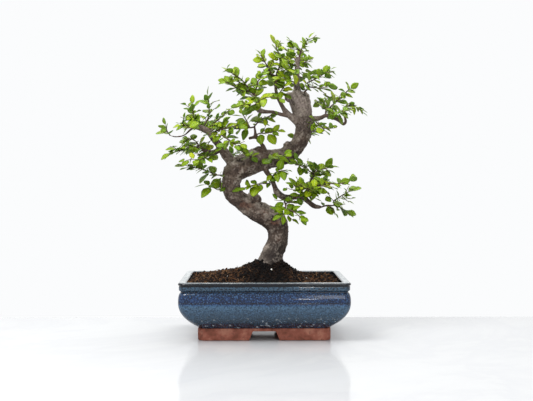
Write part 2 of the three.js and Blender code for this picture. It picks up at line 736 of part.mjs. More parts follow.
const cutters = [makeTrunk(clearance)];
for (const [name, side] of [["drain_mesh_left", -1], ["drain_mesh_right", 1]]) {
  const x = side * drainSpacing / 2;
  addNode(name, makeScreen(x), colours.screen, 0.6);
  const room = screenSize + 2 * clearance;
  cutters.push(block(room, room, screenThickness + 3 * clearance, x, 0, floorTop));
}
const soil = makeSoil(cutters);
keep("soil", soil);
addNode("soil", soil, colours.soil, 0.95);

const trunk = makeTrunk(0);
const grown = { trunk: cutters[0] };
keep("trunk", trunk);
addNode("trunk", trunk, colours.bark, 0.85);

for (const branch of branches) {
  const shape = largest(makeBranch(branch, 0).subtract(grown.trunk));
  grown[branch.name] = makeBranch(branch, clearance);
  keep(branch.name, shape);
  addNode(branch.name, shape, colours.twig, 0.8);
}

const stemsByShoot = shoots.map((shoot) => {
  const grownStems = stemsOf(shoot, grown[shoot.on]);
  if (!grownStems) {
    throw new Error(`${shoot.name} finds no free way out`);
  }
  keep(shoot.name, grownStems.body);
  return grownStems;
});

shoots.forEach((shoot, index) => {
  THREE.MathUtils.seededRandom(index + 11);
  const random = () => THREE.MathUtils.seededRandom();
  const { curves, body } = stemsByShoot[index];
  let whole = body;
  shoot.stems.forEach((stem, which) => {
    whole = growLeaves(shoot, shoot.name, curves[which], stem, whole, random);
  });
  const green = new THREE.Color().setHSL(0.25 + 0.03 * random(), 0.62, 0.3 + 0.07 * random());
  addNode(shoot.name, whole, green, 0.45);
});

export default model;
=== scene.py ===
"""Looks of a small-leaved elm bonsai that grows in a blue glazed pot on a clay foot."""

import json
import logging
import math
import random
from dataclasses import dataclass, field
from enum import Enum
from typing import Any

import bmesh
import bpy
import numpy as np
from mathutils import Matrix, Vector, noise
from mathutils.bvhtree import BVHTree
from mathutils.kdtree import KDTree

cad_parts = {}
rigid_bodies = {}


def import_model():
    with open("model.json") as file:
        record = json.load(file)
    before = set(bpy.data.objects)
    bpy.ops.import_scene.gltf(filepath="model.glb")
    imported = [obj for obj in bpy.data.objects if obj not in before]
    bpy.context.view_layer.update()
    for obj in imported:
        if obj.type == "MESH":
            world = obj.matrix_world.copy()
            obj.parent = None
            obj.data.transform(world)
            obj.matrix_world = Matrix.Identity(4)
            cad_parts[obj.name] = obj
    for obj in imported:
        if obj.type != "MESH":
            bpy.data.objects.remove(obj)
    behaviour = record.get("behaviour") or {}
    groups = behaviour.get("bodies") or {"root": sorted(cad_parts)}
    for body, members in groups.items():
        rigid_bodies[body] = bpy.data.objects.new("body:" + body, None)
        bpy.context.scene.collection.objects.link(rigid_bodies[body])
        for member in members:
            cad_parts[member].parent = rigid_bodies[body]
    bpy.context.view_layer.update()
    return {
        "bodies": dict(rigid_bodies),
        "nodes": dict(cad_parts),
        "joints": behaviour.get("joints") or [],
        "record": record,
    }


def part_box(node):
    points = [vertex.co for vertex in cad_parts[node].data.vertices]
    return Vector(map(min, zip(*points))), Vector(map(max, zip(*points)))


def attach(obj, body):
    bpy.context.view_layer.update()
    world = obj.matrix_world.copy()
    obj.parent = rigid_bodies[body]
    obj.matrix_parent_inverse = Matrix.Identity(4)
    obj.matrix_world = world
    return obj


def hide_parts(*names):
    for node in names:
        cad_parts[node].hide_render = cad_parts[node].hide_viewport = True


LOG = logging.getLogger("bonsai")
MM = 0.001
UP = Vector((0, 0, 1))
BODY = "root"

Colour = tuple[float, float, float, float]
Points = list[Vector]


class Slot(Enum):
    """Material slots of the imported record."""

    STONEWARE = "glazed_stoneware"
    SOIL = "soil"
    NET = "drain_mesh"
    BARK = "bark"
    FOLIAGE = "foliage"


# ---------------------------------------------------------------- helpers


def linear(code: str) -> Colour:
    """Turns an sRGB hex colour to linear.

    Args:
        code: six hex digits, with or without a hash.

    Returns:
        Red, green, blue and alpha, each 0 to 1.
    """
    code = code.lstrip("#")
    parts = [int(code[i : i + 2], 16) / 255 for i in (0, 2, 4)]
    done = [c / 12.92 if c <= 0.04045 else ((c + 0.055) / 1.055) ** 2.4 for c in parts]
    return (*done, 1.0)


def add(tree: bpy.types.NodeTree, kind: str, inputs: dict | None = None, **settings: Any) -> Any:
    """Adds one node with its settings and links.

    Args:
        tree: the node tree to add to.
        kind: the node's type name.
        inputs: a value or an output socket for each input, by name or number.
        **settings: the node's own settings.

    Returns:
        The new node.
    """
    node = tree.nodes.new(kind)
    for key, value in settings.items():
        setattr(node, key, value)
    for key, value in (inputs or {}).items():
        if isinstance(value, bpy.types.NodeSocket):
            tree.links.new(value, node.inputs[key])
        else:
            node.inputs[key].default_value = value
    return node


def ramp(tree: bpy.types.NodeTree, factor: Any, stops: list[tuple[float, str]]) -> Any:
    """Colours a factor through stops of sRGB hex colours.

    Args:
        tree: the shader tree.
        factor: the output socket that drives the colour.
        stops: position and colour of each stop, in order.

    Returns:
        The colour output.
    """
    node = add(tree, "ShaderNodeValToRGB", {"Fac": factor})
    elements = node.color_ramp.elements
    while len(elements) < len(stops):
        elements.new(0.5)
    for element, (position, code) in zip(elements, stops):
        element.position = position
        element.color = linear(code)
    return node.outputs["Color"]


def mix(tree: bpy.types.NodeTree, factor: Any, first: Any, second: Any, blend: str = "MIX") -> Any:
    """Blends two colours.

    Args:
        tree: the shader tree.
        factor: how much of the second colour, a number or a socket.
        first: the colour below, a value or a socket.
        second: the colour above, a value or a socket.
        blend: the blend type.

    Returns:
        The colour output.
    """
    node = add(
        tree, "ShaderNodeMix", {0: factor, 6: first, 7: second}, data_type="RGBA", blend_type=blend
    )
    return node.outputs[2]


def span(tree: bpy.types.NodeTree, value: Any, low: float, high: float) -> Any:
    """Maps a value from low..high to 0..1, clamped.

    Args:
        tree: the shader tree.
        value: the socket to map.
        low: the value that becomes 0.
        high: the value that becomes 1.

    Returns:
        The mapped output.
    """
    node = add(tree, "ShaderNodeMapRange", {0: value, 1: low, 2: high, 3: 0.0, 4: 1.0})
    return node.outputs[0]


def speckle(tree: bpy.types.NodeTree, where: Any, size_mm: float, detail: float = 3.0) -> Any:
    """Noise whose grains are about a real size.

    Args:
        tree: the shader tree.
        where: the coordinates, in metres.
        size_mm: the size of one grain.
        detail: how many finer layers it has.

    Returns:
        The factor output, 0 to 1.
    """
    inputs = {"Vector": where, "Scale": 1 / (size_mm * MM), "Detail": detail, "Roughness": 0.55}
    return add(tree, "ShaderNodeTexNoise", inputs).outputs["Fac"]


def attribute(tree: bpy.types.NodeTree, name: str) -> Any:
    """Reads a number that the mesh carries."""
    return add(tree, "ShaderNodeAttribute", attribute_name=name).outputs["Fac"]


def mesh_object(name: str, corners: list, faces: list, smooth: bool = True) -> bpy.types.Object:
    """Makes a mesh piece in the scene.

    Args:
        name: the piece's name.
        corners: vertex positions in metres.
        faces: vertex numbers of each face.
        smooth: whether the faces are shaded smooth.

    Returns:
        The new object.
    """
    mesh = bpy.data.meshes.new(name)
    mesh.from_pydata([tuple(c) for c in corners], [], [tuple(f) for f in faces])
    mesh.validate()
    mesh.polygons.foreach_set("use_smooth", [smooth] * len(mesh.polygons))
    piece = bpy.data.objects.new(name, mesh)
    bpy.context.scene.collection.objects.link(piece)
    return piece


def shade_smooth(piece: bpy.types.Object) -> None:
    """Shades every face of a piece smooth."""
    piece.data.polygons.foreach_set("use_smooth", [True] * len(piece.data.polygons))


def ball(radius: float, subdivisions: int) -> tuple[Points, list[tuple[int, ...]]]:
    """An even ball of triangles round the origin.

    Args:
        radius: its radius.
        subdivisions: how finely it is split.

    Returns:
        Its corners and faces.
    """
    work = bmesh.new()
    bmesh.ops.create_icosphere(work, subdivisions=subdivisions, radius=radius)
    corners = [v.co.copy() for v in work.verts]
    faces = [tuple(v.index for v in f.verts) for f in work.faces]
    work.free()
    return corners, faces


def shape_store(name: str, models: list[bpy.types.Object]) -> bpy.types.Collection:
    """Puts shapes that are to be scattered in a collection of their own.

    Args:
        name: the collection's name.
        models: the shapes.

    Returns:
        The collection.
    """
    store = bpy.data.collections.new(name)
    bpy.context.scene.collection.children.link(store)
    for model in models:
        bpy.context.scene.collection.objects.unlink(model)
        store.objects.link(model)
    return store


def clear_store(store: bpy.types.Collection) -> None:
    """Removes a collection of shapes once they are scattered.

    Args:
        store: the collection.
    """
    for model in list(store.objects):
        bpy.data.objects.remove(model)
    bpy.data.collections.remove(store)


def apply_all(piece: bpy.types.Object) -> None:
    """Turns a piece with modifiers into its plain evaluated mesh.

    Args:
        piece: the piece, which loses its modifiers.
    """
    graph = bpy.context.evaluated_depsgraph_get()
    done = bpy.data.meshes.new_from_object(piece.evaluated_get(graph), depsgraph=graph)
    piece.modifiers.clear()
    old = piece.data
    done.name = old.name
    piece.data = done
    bpy.data.meshes.remove(old)


def finished(
    piece: bpy.types.Object, nodes: list[str], material: bpy.types.Material | None
) -> None:
    """Hands a finished piece to the frame.

    Args:
        piece: the piece, with its place in its mesh.
        nodes: the solids that it stands for.
        material: its only material, or None if it has them already.
    """
    if material is not None:
        piece.data.materials.clear()
        piece.data.materials.append(material)
        piece.data.polygons.foreach_set("material_index", [0] * len(piece.data.polygons))
    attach(piece, BODY)
    if nodes:
        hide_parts(*nodes)
    LOG.info("%s: %d faces", piece.name, len(piece.data.polygons))


def welded(node: bpy.types.Object) -> tuple[np.ndarray, np.ndarray]:
    """Reads a solid's mesh with its loose triangles joined.

    Args:
        node: the solid's object, which isn't changed.

    Returns:
        Corner positions, and three corner numbers for each triangle.
    """
    mesh = node.data
    places = np.empty(len(mesh.vertices) * 3, np.float32)
    mesh.vertices.foreach_get("co", places)
    places = places.reshape(-1, 3)
    mesh.calc_loop_triangles()
    corners = np.empty(len(mesh.loop_triangles) * 3, np.int32)
    mesh.loop_triangles.foreach_get("vertices", corners)
    _, first, where = np.unique(
        np.round(places / (0.005 * MM)).astype(np.int64), axis=0, return_index=True,
        return_inverse=True,
    )
    triangles = where.reshape(-1)[corners].reshape(-1, 3)
    keep = (triangles[:, 0] != triangles[:, 1]) & (triangles[:, 1] != triangles[:, 2])
    keep &= triangles[:, 0] != triangles[:, 2]
    return places[first].astype(float), triangles[keep]


def between(around: Points, share: float) -> Vector:
    """A point on the smooth curve through four points, between the middle two.

    Args:
        around: the four points.
        share: how far along it is from the second point to the third, 0 to 1.

    Returns:
        The point.
    """
    a, b, c, d = around
    t = share
    return 0.5 * (
        2 * b + (c - a) * t + (2 * a - 5 * b + 4 * c - d) * t**2 + (3 * b - a - 3 * c + d) * t**3
    )


def catmull(points: Points, step: float) -> Points:
    """Draws a smooth path through points.

    Args:
        points: two or more points.
        step: rough distance between the path's points.

    Returns:
        The path, from the first point to the last.
    """
    ends = [points[0] * 2 - points[1], *points, points[-1] * 2 - points[-2]]
    path: Points = []
    for around in zip(ends, ends[1:], ends[2:], ends[3:]):
        count = max(1, round((around[2] - around[1]).length / step))
        path += [between(around, i / count) for i in range(count)]
    return [*path, points[-1].copy()]


def nodes_tree(name: str, sizes: dict[str, float]) -> tuple[Any, Any, dict[str, str]]:
    """Starts a geometry tree with named inputs.

    Args:
        name: the tree's name.
        sizes: default value of each named input.

    Returns:
        The tree, its input node, and each input's identifier.
    """
    tree = bpy.data.node_groups.new(name, "GeometryNodeTree")
    tree.interface.new_socket("Geometry", in_out="INPUT", socket_type="NodeSocketGeometry")
    tree.interface.new_socket("Geometry", in_out="OUTPUT", socket_type="NodeSocketGeometry")
    known = {}
    for label, value in sizes.items():
        kind = "NodeSocketInt" if isinstance(value, int) else "NodeSocketFloat"
        socket = tree.interface.new_socket(label, in_out="INPUT", socket_type=kind)
        socket.default_value = value
        known[label] = socket.identifier
    return tree, add(tree, "NodeGroupInput"), known


def close_tree(tree: Any, geometry: Any, material: bpy.types.Material) -> None:
    """Ends a geometry tree: real geometry with its material.

    Args:
        tree: the tree to end.
        geometry: the output socket that holds the result.
        material: the finish of everything in it.
    """
    real = add(tree, "GeometryNodeRealizeInstances", {"Geometry": geometry})
    dressed = add(
        tree, "GeometryNodeSetMaterial", {"Geometry": real.outputs[0], "Material": material}
    )
    add(tree, "NodeGroupOutput", {0: dressed.outputs[0]})


def run_tree(
    piece: bpy.types.Object, tree: Any, known: dict[str, str], sizes: dict[str, float]
) -> None:
    """Runs a geometry tree on a piece and keeps its plain mesh.

    Args:
        piece: the object that carries the tree's input geometry.
        tree: the geometry tree.
        known: identifier of each named input.
        sizes: the inputs to set, by name.
    """
    modifier = piece.modifiers.new(tree.name, "NODES")
    modifier.node_group = tree
    for label, value in sizes.items():
        modifier[known[label]] = value
    apply_all(piece)


# ---------------------------------------------------------------- finishes


@dataclass(frozen=True)
class Finish:
    """A surface: its name and the values that hold all over it."""

    name: str
    roughness: float
    ior: float = 1.5

    def start(self) -> tuple[bpy.types.Material, Any, Any, Any]:
        """Makes the material with its shader.

        Returns:
            The material, its tree, the shader node, and object coordinates in metres.
        """
        material = bpy.data.materials.new(self.name)
        material.use_nodes = True
        tree = material.node_tree
        shader = tree.nodes["Principled BSDF"]
        shader.inputs["Roughness"].default_value = self.roughness
        shader.inputs["IOR"].default_value = self.ior
        where = add(tree, "ShaderNodeTexCoord").outputs["Object"]
        return material, tree, shader, where

    @staticmethod
    def bump(tree: Any, shader: Any, height: Any, depth_mm: float, strength: float = 1.0) -> None:
        """Roughens the surface with a height pattern.

        Args:
            tree: the shader tree.
            shader: the shader node that takes the normal.
            height: the pattern's socket, 0 to 1.
            depth_mm: the real depth of the pattern.
            strength: how much of it shows.
        """
        inputs = {"Height": height, "Distance": depth_mm * MM, "Strength": strength}
        node = add(tree, "ShaderNodeBump", inputs)
        tree.links.new(node.outputs["Normal"], shader.inputs["Normal"])


@dataclass(frozen=True)
class ElmBark(Finish):
    """Living elm bark, grown: matt grey-brown with dark cracks, pale crests and rusty patches, painted
    paler on the tops of thick limbs and painted darker under them.
    """

    def build(self) -> bpy.types.Material:
        """Builds the bark.

        Returns:
            The material.
        """
        material, tree, shader, where = self.start()
        patches = speckle(tree, where, 19, 3)
        tone = ramp(
            tree, patches, [(0.32, "#41322a"), (0.45, "#5a493e"), (0.55, "#6e5e52"), (0.68, "#877a6e")]
        )
        z = add(tree, "ShaderNodeSeparateXYZ", {0: where}).outputs[2]
        aloft = span(tree, z, 0.246, 0.292)
        part = add(tree, "ShaderNodeMath", {0: aloft, 1: 0.78}, operation="MULTIPLY").outputs[0]
        tone = mix(tree, part, tone, linear("#b5a69f"))
        rust = span(tree, speckle(tree, where, 12, 4), 0.56, 0.68)
        low = span(tree, z, 0.22, 0.14)
        rusty = add(tree, "ShaderNodeMath", {0: rust, 1: low}, operation="MULTIPLY").outputs[0]
        tone = mix(tree, rusty, tone, linear("#6a4331"))
        tone = mix(tree, span(tree, z, 0.142, 0.098), tone, linear("#2a201a"))
        # painted light and shade: tops of thick limbs painted paler, undersides painted darker, by
        # which way the surface faces
        bleach = attribute(tree, "bleach")
        tone = mix(tree, span(tree, bleach, 0.15, 1.1), tone, linear("#b5a89b"))
        tone = mix(tree, span(tree, bleach, -0.2, -1.2), tone, linear("#3d3029"))
        mottle = span(tree, speckle(tree, where, 2.8, 5), 0.34, 0.6)
        tone = mix(tree, mottle, mix(tree, 1.0, tone, linear("#a39a92"), "MULTIPLY"), tone)
        crest = span(tree, attribute(tree, "relief"), 0.5, 1.1)
        tone = mix(tree, crest, tone, linear("#a99c90"))
        # painted shade: the low places of the bark's relief painted darker, as shade in its hollows
        painted_hollow_shade = span(tree, attribute(tree, "relief"), 0.3, -0.1)
        tone = mix(tree, painted_hollow_shade, tone, linear("#332821"))
        crack = span(tree, attribute(tree, "crack"), 0.1, 0.8)
        tone = mix(tree, crack, tone, linear("#251b16"))
        young = span(tree, attribute(tree, "girth"), 0.0042, 0.0018)
        tone = mix(tree, young, tone, linear("#49352a"))
        tree.links.new(tone, shader.inputs["Base Color"])
        grain = speckle(tree, where, 0.9, 4)
        self.bump(tree, shader, grain, 0.35, 0.8)
        return material


@dataclass(frozen=True)
class TwigBark(Finish):
    """Thin young bark: dark red-brown, slightly waxy, with pale pores."""

    def build(self) -> bpy.types.Material:
        """Builds the twigs' bark.

        Returns:
            The material.
        """
        material, tree, shader, where = self.start()
        tone = ramp(tree, speckle(tree, where, 4, 3), [(0.35, "#2a1a14"), (0.6, "#4c3328")])
        fresh = span(tree, attribute(tree, "fresh"), 0.45, 1.0)
        tone = mix(tree, fresh, tone, linear("#66532c"))
        pores = span(tree, speckle(tree, where, 0.7, 2), 0.62, 0.7)
        tone = mix(tree, pores, tone, linear("#8d7460"))
        tree.links.new(tone, shader.inputs["Base Color"])
        self.bump(tree, shader, speckle(tree, where, 0.8, 3), 0.12, 0.7)
        return material


@dataclass(frozen=True)
class LeafBlade(Finish):
    """Thin waxy elm leaf, grown: glossy above, paler below, with a light midrib and veins."""

    def build(self) -> bpy.types.Material:
        """Builds the leaf from the blade's own map and each leaf's tint, which carries painted light by
        height, and age.

        Returns:
            The material.
        """
        material, tree, shader, where = self.start()
        tint = attribute(tree, "tint")
        tone = ramp(
            tree,
            tint,
            [(0.0, "#435f09"), (0.3, "#607e0b"), (0.6, "#7b940e"), (0.85, "#9aac13"), (1.0, "#abb61c")],
        )
        tone = mix(tree, span(tree, attribute(tree, "age"), 0.5, 0.0), tone, linear("#a4b82a"))
        blade = add(tree, "ShaderNodeUVMap", uv_map="blade").outputs["UV"]
        parts = add(tree, "ShaderNodeSeparateXYZ", {0: blade}).outputs
        off = add(tree, "ShaderNodeMath", {0: parts[0], 1: 0.5}, operation="SUBTRACT").outputs[0]
        side = add(tree, "ShaderNodeMath", {0: off}, operation="ABSOLUTE").outputs[0]
        # seven pairs of side veins, swept forward from the midrib
        lead = add(
            tree, "ShaderNodeMath", {0: side, 1: -1.1, 2: parts[1]}, operation="MULTIPLY_ADD"
        ).outputs[0]
        turns = add(tree, "ShaderNodeMath", {0: lead, 1: 44.0}, operation="MULTIPLY").outputs[0]
        wave = add(tree, "ShaderNodeMath", {0: turns}, operation="SINE").outputs[0]
        vein = span(tree, wave, 0.55, 1.0)
        faint = add(tree, "ShaderNodeMath", {0: vein, 1: 0.14}, operation="MULTIPLY").outputs[0]
        tone = mix(tree, faint, tone, linear("#9dbb55"))
        rib = span(tree, side, 0.045, 0.012)
        part_rib = add(tree, "ShaderNodeMath", {0: rib, 1: 0.4}, operation="MULTIPLY").outputs[0]
        tone = mix(tree, part_rib, tone, linear("#b4cc72"))
        blotch = span(tree, speckle(tree, where, 6, 2), 0.35, 0.7)
        tone = mix(tree, blotch, mix(tree, 0.3, tone, linear("#9aa86a"), "MULTIPLY"), tone)
        below = attribute(tree, "under")
        tone = mix(tree, below, tone, mix(tree, 0.4, tone, linear("#7f9a55")))
        tree.links.new(tone, shader.inputs["Base Color"])
        gloss = span(tree, below, -1.2, 1.6)
        rough = add(tree, "ShaderNodeMath", {0: gloss, 1: 0.72}, operation="MULTIPLY").outputs[0]
        tree.links.new(rough, shader.inputs["Roughness"])
        shader.inputs["Specular IOR Level"].default_value = 0.16
        shader.inputs["Subsurface Weight"].default_value = 0.18
        shader.inputs["Subsurface Radius"].default_value = (0.6, 1.0, 0.15)
        shader.inputs["Subsurface Scale"].default_value = 0.0012
        ridge = add(tree, "ShaderNodeMath", {0: wave, 1: rib}, operation="ADD").outputs[0]
        self.bump(tree, shader, ridge, 0.12, 0.5)
        return material


@dataclass(frozen=True)
class PottingMix(Finish):
    """Peat and bark mix, matt: every crumb its own brown, with painted shade darkening it round the
    trunk.
    """

    low: str = "#1c110b"
    mid: str = "#3a2518"
    high: str = "#6e4a31"

    def build(self) -> bpy.types.Material:
        """Builds the mix, shaded piece by piece where the mesh says so.

        Returns:
            The material.
        """
        material, tree, shader, where = self.start()
        shade = attribute(tree, "shade")
        tone = ramp(tree, shade, [(0.0, self.low), (0.65, self.mid), (1.0, self.high)])
        grit = span(tree, speckle(tree, where, 1.3, 4), 0.3, 0.7)
        tone = mix(tree, grit, mix(tree, 0.6, tone, linear("#5a4a40"), "MULTIPLY"), tone)
        # painted shade: everything within a band across the middle, round the trunk, darkened
        across = add(tree, "ShaderNodeSeparateXYZ", {0: where}).outputs[0]
        off = add(tree, "ShaderNodeMath", {0: across, 1: 0.008}, operation="SUBTRACT").outputs[0]
        far = add(tree, "ShaderNodeMath", {0: off}, operation="ABSOLUTE").outputs[0]
        painted_trunk_shade = span(tree, far, 0.046, 0.014)
        tone = mix(tree, painted_trunk_shade, tone, mix(tree, 1.0, tone, linear("#69625f"), "MULTIPLY"))
        tree.links.new(tone, shader.inputs["Base Color"])
        shader.inputs["Specular IOR Level"].default_value = 0.2
        self.bump(tree, shader, speckle(tree, where, 0.7, 4), 0.4, 0.9)
        return material


@dataclass(frozen=True)
class CobaltGlaze(Finish):
    """Reduction-fired cobalt glaze over stoneware: glossy, mottled, dark where it is thick
    and broken to pale grey where it runs thin on edges, with a painted reflection on the rim's top."""

    height: float = 0.071
    bands: tuple[tuple[float, str], ...] = (
        (0.20, "#161e28"), (0.30, "#1a2733"), (0.40, "#334553"), (0.50, "#3e5468"),
        (0.60, "#446078"), (0.635, "#2c4f74"), (0.648, "#0b1f4a"), (0.658, "#040b22"),
        (0.676, "#050f2c"), (0.69, "#0c2650"), (0.78, "#0e284e"), (0.84, "#152a42"),
        (0.855, "#06090f"), (0.866, "#32485b"), (0.925, "#375165"), (0.938, "#05080d"),
        (0.98, "#0a1018"), (0.995, "#1a2630"),
    )

    def build(self) -> bpy.types.Material:
        """Builds the glaze in the bands in which it ran and pooled.

        Returns:
            The material.
        """
        material, tree, shader, where = self.start()
        z = add(tree, "ShaderNodeSeparateXYZ", {0: where}).outputs[2]
        drift = speckle(tree, where, 14, 3)
        run = add(
            tree, "ShaderNodeMath", {0: drift, 1: 0.003, 2: z}, operation="MULTIPLY_ADD"
        ).outputs[0]
        level = span(tree, run, 0.0015, self.height + 0.0015)
        tone = ramp(tree, level, list(self.bands))
        belly = span(tree, z, self.height - 0.008, self.height - 0.011)
        spot = span(tree, speckle(tree, where, 1.5, 3), 0.5, 0.64)
        bright = add(tree, "ShaderNodeMath", {0: spot, 1: belly}, operation="MULTIPLY").outputs[0]
        tone = mix(tree, bright, tone, mix(tree, 0.42, tone, linear("#5b85b0")))
        pool = span(tree, z, 0.03, 0.056)
        share = add(tree, "ShaderNodeMapRange", {0: pool, 3: 0.25, 4: 0.9}).outputs[0]
        freckle = span(tree, speckle(tree, where, 1.9, 4), 0.51, 0.44)
        dark = add(tree, "ShaderNodeMath", {0: freckle, 1: share}, operation="MULTIPLY").outputs[0]
        tone = mix(tree, dark, tone, linear("#060b18"))
        # the rim's top painted pale: partly thin glaze on the edge, partly a painted reflection of the
        # white room
        top = span(tree, z, self.height - 0.0004, self.height - 0.0001)
        rim_thin_glaze_and_reflection = speckle(tree, where, 5, 4)
        pale = ramp(tree, rim_thin_glaze_and_reflection, [(0.38, "#66737c"), (0.5, "#a0a8aa"), (0.62, "#c4c8c6")])
        tone = mix(tree, top, tone, pale)
        scuff = span(tree, speckle(tree, where, 5, 7), 0.6, 0.66)
        low = span(tree, z, 0.032, 0.024)
        worn = add(tree, "ShaderNodeMath", {0: scuff, 1: low}, operation="MULTIPLY").outputs[0]
        tone = mix(tree, worn, tone, linear("#a9b4bc"))
        tree.links.new(tone, shader.inputs["Base Color"])
        rough = span(tree, speckle(tree, where, 2.5, 3), 0.0, 5.5)
        tree.links.new(rough, shader.inputs["Roughness"])
        shader.inputs["Specular IOR Level"].default_value = 0.4
        self.bump(tree, shader, speckle(tree, where, 3.5, 3), 0.12, 0.35)
        return material


@dataclass(frozen=True)
class RedClay(Finish):
    """Unglazed red stoneware clay, wiped: matt, warm, darker where it was handled."""

    def build(self) -> bpy.types.Material:
        """Builds the bare clay.

        Returns:
            The material.
        """
        material, tree, shader, where = self.start()
        tone = ramp(
            tree, speckle(tree, where, 12, 4), [(0.34, "#74402f"), (0.5, "#965645"), (0.64, "#b07560")]
        )
        stain = span(tree, speckle(tree, where, 5, 5), 0.57, 0.72)
        tone = mix(tree, stain, tone, linear("#6a4034"))
        tree.links.new(tone, shader.inputs["Base Color"])
        self.bump(tree, shader, speckle(tree, where, 0.8, 4), 0.25, 0.7)
        return material


@dataclass(frozen=True)
class PlainFinish(Finish):
    """One even material with a fine grain, such as moulded plastic or perlite."""

    tone: str = "#202322"
    other: str = "#2e3230"
    grain_mm: float = 1.0

    def build(self) -> bpy.types.Material:
        """Builds the material.

        Returns:
            The material.
        """
        material, tree, shader, where = self.start()
        grain = speckle(tree, where, self.grain_mm, 3)
        colour = ramp(tree, grain, [(0.35, self.tone), (0.65, self.other)])
        tree.links.new(colour, shader.inputs["Base Color"])
        self.bump(tree, shader, grain, 0.1, 0.6)
        return material


@dataclass(frozen=True)
class PolishedTable(Finish):
    """A pale polished stone top: a soft mirror with faint grey veins."""

    def build(self) -> bpy.types.Material:
        """Builds the table's stone.

        Returns:
            The material.
        """
        material, tree, shader, where = self.start()
        veins = add(
            tree, "ShaderNodeTexNoise",
            {"Vector": where, "Scale": 3.5, "Detail": 8.0, "Roughness": 0.62, "Distortion": 1.4},
        ).outputs["Fac"]
        tone = ramp(
            tree, veins, [(0.4, "#c3c4c5"), (0.5, "#bfc0c2"), (0.54, "#c2c3c4"), (0.7, "#c5c6c7")]
        )
        tree.links.new(tone, shader.inputs["Base Color"])
        shader.inputs["Specular IOR Level"].default_value = 0.08
        return material


BARK = ElmBark("elm_bark_grown", 0.82)
TWIG = TwigBark("young_elm_bark", 0.6)
LEAF = LeafBlade("waxy_elm_leaf", 0.4, 1.42)
MIX = PottingMix("moist_peat_mix", 0.95, low="#060301", mid="#1b0f09", high="#68492f")
CHIP = PottingMix("composted_pine_bark", 0.85, low="#120906", mid="#361f13", high="#7b573b")
ROOT = PottingMix("dry_root_fibre", 0.8, low="#3f291a", mid="#704d31", high="#a5815d")
PERLITE = PlainFinish("expanded_perlite", 0.8, tone="#d9d6cf", other="#f4f2ec", grain_mm=0.5)
GLAZE = CobaltGlaze("cobalt_glaze_fired", 0.2, 1.5)
CLAY = RedClay("bare_red_clay_wiped", 0.86)
NET = PlainFinish("moulded_polyethylene", 0.5, tone="#1b1e1d", other="#282c2a", grain_mm=0.6)
TABLE = PolishedTable("polished_pale_stone", 0.1, 1.5)


# ---------------------------------------------------------------- pot


